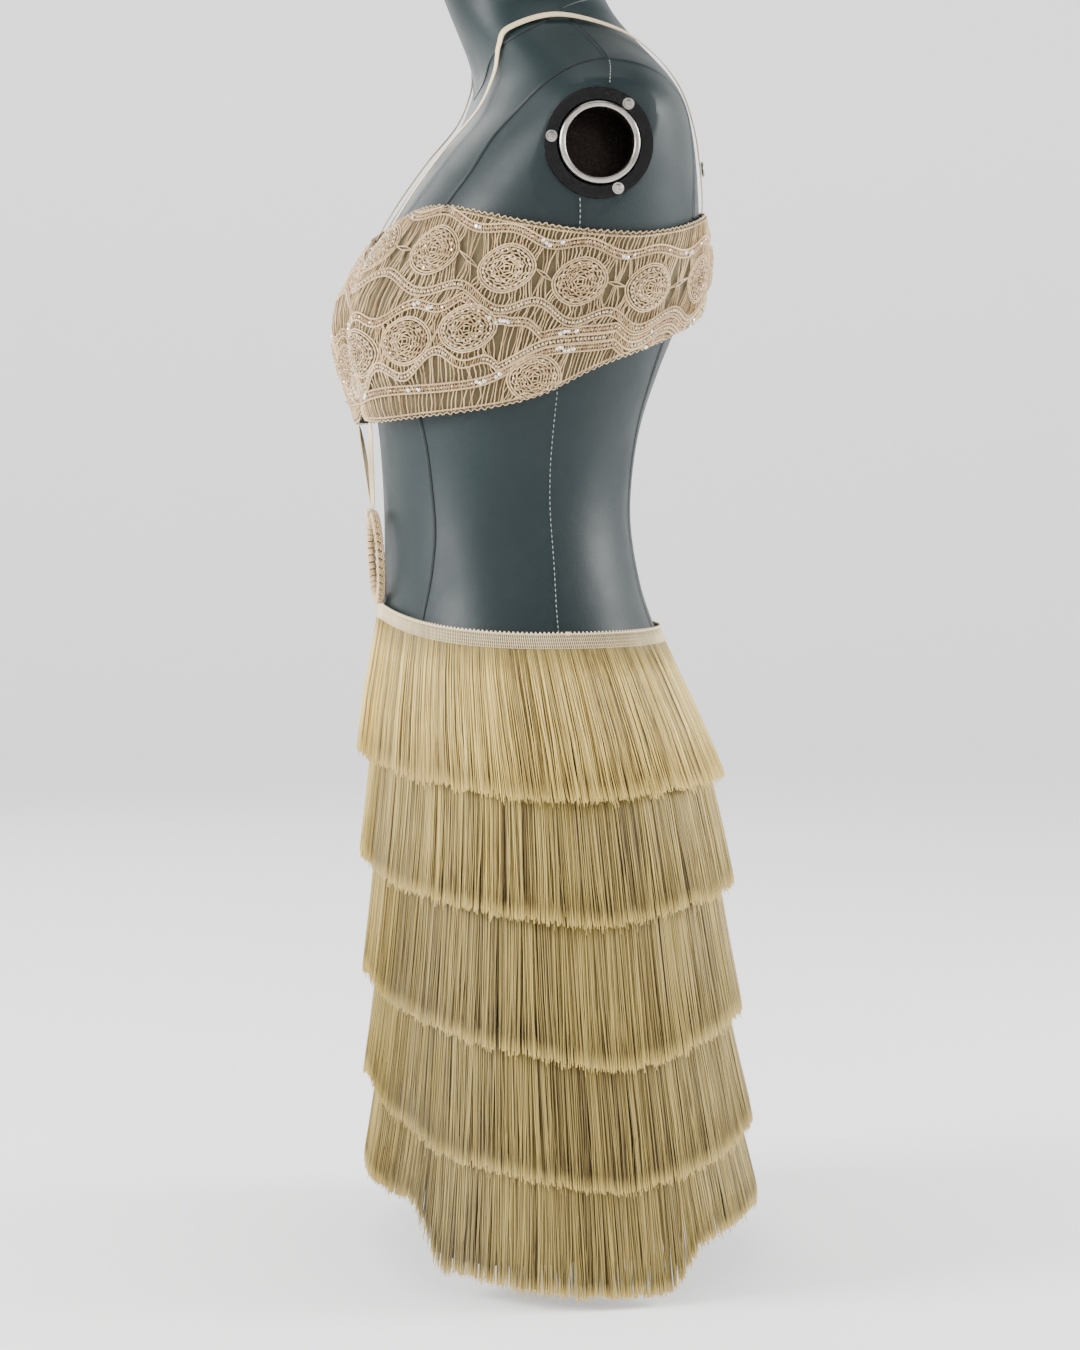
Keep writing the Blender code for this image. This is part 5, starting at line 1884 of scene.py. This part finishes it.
class Tier:
    """Strands of one fringe tier, gathered into uneven locks over an even layer underneath."""

    STATIONS = (0.0, 0.22, 0.60, 1.0)
    SKIRT_RADIUS = 0.165
    LAYER_THICKNESS = ((0.0, 0.3, 1.0), (0.0006, 0.0032, 0.0046))

    def __init__(self, tier, settings, chance):
        self.tier = tier
        self.settings = settings
        self.chance = chance

    def locks(self, usual, tightest):
        """Locks round the skirt: start and end angle, how tightly each gathers, swing, extra length, tone."""
        chance = self.chance
        made = []
        angle = 0.0
        while angle < 2 * pi:
            width = usual * chance.uniform(0.4, 1.7) / self.SKIRT_RADIUS
            gather = tightest * chance.uniform(0.1, 1.0) ** 1.5
            made.append((angle, angle + width, gather, chance.gauss(0, 0.004), chance.gauss(0, 0.0009),
                         chance.gauss(0, 0.09)))
            angle += width
        return made

    def strand(self, angle, locks, depth):
        chance = self.chance
        top = tape_top(angle, self.tier) - TAPE_HEIGHT * 0.8
        longer = chance.gauss(0.0, 0.0013) + sum(lock[4] for lock in locks)
        if chance.random() < 0.04:
            longer -= chance.uniform(0.001, 0.006)
        tip = max(hem_height(angle, self.tier) + longer, LOWEST_TIP)
        stray = chance.gauss(0.0, 0.006)
        if chance.random() < 0.08:
            stray *= 3.5
        bend = chance.gauss(0.0, 0.002)
        root = FOUNDATION_WALL + TAPE_CLEARANCE + TAPE_WALL * 0.45
        thickness = self.settings.strand_radius * TIER_THICKNESS[self.tier - 1]
        points = []
        radii = []
        for along in self.STATIONS:
            turned = angle + stray * along**2 + bend * sin(pi * along)
            for start, end, gather, swing, _, _ in locks:
                pull = gather * (1 - 0.85 * depth) * min(1.0, along * 1.25) ** 1.3
                turned += ((start + end) / 2 - angle) * pull + swing * (1 - depth) * along**2
            outside = straight_between((0.0, 0.38, 1.0), (root, 0.0074, 0.0162), along)
            thick = straight_between(*self.LAYER_THICKNESS, along)
            points.append(skirt_point(turned, top + (tip - top) * along, outside - depth * thick))
            radii.append(thickness * (TIP_TAPER if along == 1.0 else 1.0))
        # Strands deeper in the tier get a darker tone: painted shade. The lock's tone and the random spread
        # are the yarn's own.
        tone = 0.74 - 0.5 * depth + chance.gauss(0.0, 0.17) + sum(lock[5] for lock in locks)
        return Yarn(points, radii, min(1.0, max(0.0, tone)))

    def strands(self):
        count = round(self.settings.strands * TIER_DENSITY[self.tier - 1])
        usual = self.settings.lock_width
        layers = (self.locks(usual, 0.28), self.locks(usual * 0.3, 0.55))
        at = [0, 0]
        yarns = []
        for i in range(count):
            angle = 2 * pi * (i + 0.5) / count
            for k, layer in enumerate(layers):
                while at[k] < len(layer) - 1 and angle > layer[at[k]][1]:
                    at[k] += 1
            found = [layer[k] for layer, k in zip(layers, at)]
            yarns.append(self.strand(angle, found, self.chance.random() ** 1.3))
        # The even layer underneath lies deepest, so its tone is the darkest: painted shade.
        under = count // UNDER_SHARE
        for i in range(under):
            yarn = self.strand(2 * pi * i / under, [], 1.0)
            yarn.radii = [radius * UNDER_THICKNESS for radius in yarn.radii]
            yarns.append(yarn)
        return yarns


class DRESS_OT_fringe(bpy.types.Operator):
    """Hang the five tiers of fringe"""

    bl_idname = "dress.fringe"
    bl_label = "Fringe Tiers"

    def execute(self, context):
        settings = context.scene.dress_fringe
        tip = tuple(min(1.0, value * 1.05) for value in settings.light)
        chance = random.Random(41)
        for tier in TIERS:
            # Painted shade: the lower tiers are made darker than the first.
            shade = 1.0 if tier == 1 else LOWER_TIER_SHADE - SHADE_STEP * tier
            dark = scaled(settings.dark, shade)
            light = scaled(settings.light, shade)
            yarn = fringe_yarn("fringe_yarn_%d" % tier, dark, light, tip)
            strands = Tier(tier, settings, chance).strands()
            add_yarns("fringe_strands_%d" % tier, strands, 3, yarn, ["fringe_%d" % tier])
        self.declare_cloth()
        return {"FINISHED"}

    def declare_cloth(self):
        """The skirt's cloth was cut as one strip, as wide as the skirt is round, with the fringe sewn on."""
        size = strip_size(skirt_cloth_middle, skirt_cloth_edges)


# The stage

FLOOR_RADIUS = 4.6
WALL_BEND = 1.6
WALL_HEIGHT = 6.0
LIGHTS_AIM = (0, 0, 0.55)
AIR_STRENGTH = 0.26

# Each light's name, place, size and power
LIGHTS = (
    ("front_light", (0.4, -2.5, 1.5), 1.3, 128),
    ("back_light", (0.3, 2.5, 1.4), 1.2, 88),
    ("side_light", (2.6, -0.6, 2.6), 1.0, 8),
    ("top_light", (0.0, 0.0, 3.0), 1.4, 14),
    ("far_light", (-2.6, -0.6, 1.8), 1.6, 22),
)


class DRESS_OT_stage(bpy.types.Operator):
    """Set the pale studio, its soft lights and the camera"""

    bl_idname = "dress.stage"
    bl_label = "Studio"

    def execute(self, context):
        settings = context.scene.dress_stage
        self.paper(settings)
        self.lights(context)
        self.camera(context, settings)
        return {"FINISHED"}

    def paper(self, settings):
        """Round floor that curves up into a wall on every side."""
        profile = [(0.0, 0.0), (0.0, FLOOR_RADIUS)]
        for step in range(1, 13):
            turn = pi / 2 * step / 12
            profile.append((WALL_BEND - WALL_BEND * cos(turn), FLOOR_RADIUS + WALL_BEND * sin(turn)))
        profile.append((WALL_HEIGHT, FLOOR_RADIUS + WALL_BEND))
        bm = spun(Vector((0, 0, 0)), Vector((0, 0, 1)), Vector((0, 1, 0)), profile, 64, closed=False)
        mesh = finished_mesh("studio_paper", bm, 80)
        mesh.materials.append(studio_paper("studio_paper", tuple(settings.paper)))
        item = bpy.data.objects.new("studio_paper", mesh)
        bpy.context.scene.collection.objects.link(item)

    def lights(self, context):
        for name, place, size, power in LIGHTS:
            data = bpy.data.lights.new(name, "AREA")
            data.shape = "SQUARE"
            data.size = size
            data.energy = power
            item = bpy.data.objects.new(name, data)
            item.location = place
            aim = Vector(LIGHTS_AIM) - Vector(place)
            item.rotation_euler = aim.to_track_quat("-Z", "Y").to_euler()
            context.scene.collection.objects.link(item)
        world = bpy.data.worlds.new("studio_air")
        world.use_nodes = True
        air = world.node_tree.nodes["Background"]
        air.inputs["Color"].default_value = (1.0, 1.0, 1.0, 1.0)
        air.inputs["Strength"].default_value = AIR_STRENGTH
        context.scene.world = world

    def camera(self, context, settings):
        way = Vector((sin(settings.azimuth), -cos(settings.azimuth), 0.0))
        right = Vector((cos(settings.azimuth), sin(settings.azimuth), 0.0))
        data = bpy.data.cameras.new("studio_camera")
        data.lens = settings.lens
        data.clip_start = 0.05
        data.clip_end = 50
        item = bpy.data.objects.new("studio_camera", data)
        item.location = way * settings.distance + right * settings.across + Vector((0, 0, settings.height))
        look = -way * cos(settings.pitch) - Vector((0, 0, sin(settings.pitch)))
        item.rotation_euler = look.to_track_quat("-Z", "Y").to_euler()
        context.scene.collection.objects.link(item)
        context.scene.camera = item


class DRESS_PT_panel(bpy.types.Panel):
    """Everything that makes the dress, in the order it is made"""

    bl_idname = "DRESS_PT_panel"
    bl_label = "Fringe Dress"
    bl_space_type = "VIEW_3D"
    bl_region_type = "UI"
    bl_category = "Fringe Dress"

    def draw(self, context):
        layout = self.layout
        for operator, settings in STEPS:
            box = layout.box()
            box.operator(operator.bl_idname)
            if settings:
                group = getattr(context.scene, settings)
                for name in group.bl_rna.properties.keys():
                    if name not in ("rna_type", "name"):
                        box.prop(group, name)


STEPS = (
    (DRESS_OT_form, "dress_form"),
    (DRESS_OT_sockets, ""),
    (DRESS_OT_stand, ""),
    (DRESS_OT_lining, "dress_crochet"),
    (DRESS_OT_crochet, ""),
    (DRESS_OT_straps, "dress_trim"),
    (DRESS_OT_ring, ""),
    (DRESS_OT_skirt, ""),
    (DRESS_OT_fringe, "dress_fringe"),
    (DRESS_OT_stage, "dress_stage"),
)
GROUPS = {
    "dress_form": FormSettings,
    "dress_crochet": CrochetSettings,
    "dress_trim": TrimSettings,
    "dress_fringe": FringeSettings,
    "dress_stage": StageSettings,
}


def register():
    for name, group in GROUPS.items():
        bpy.utils.register_class(group)
        setattr(bpy.types.Scene, name, bpy.props.PointerProperty(type=group))
    for operator, _ in STEPS:
        bpy.utils.register_class(operator)
    bpy.utils.register_class(DRESS_PT_panel)


def unregister():
    bpy.utils.unregister_class(DRESS_PT_panel)
    for operator, _ in reversed(STEPS):
        bpy.utils.unregister_class(operator)
    for name, group in GROUPS.items():
        delattr(bpy.types.Scene, name)
        bpy.utils.unregister_class(group)


def main():
    register()
    for operator, _ in STEPS:
        group, name = operator.bl_idname.split(".")
        getattr(getattr(bpy.ops, group), name)()


if __name__ == "__main__":
    main()
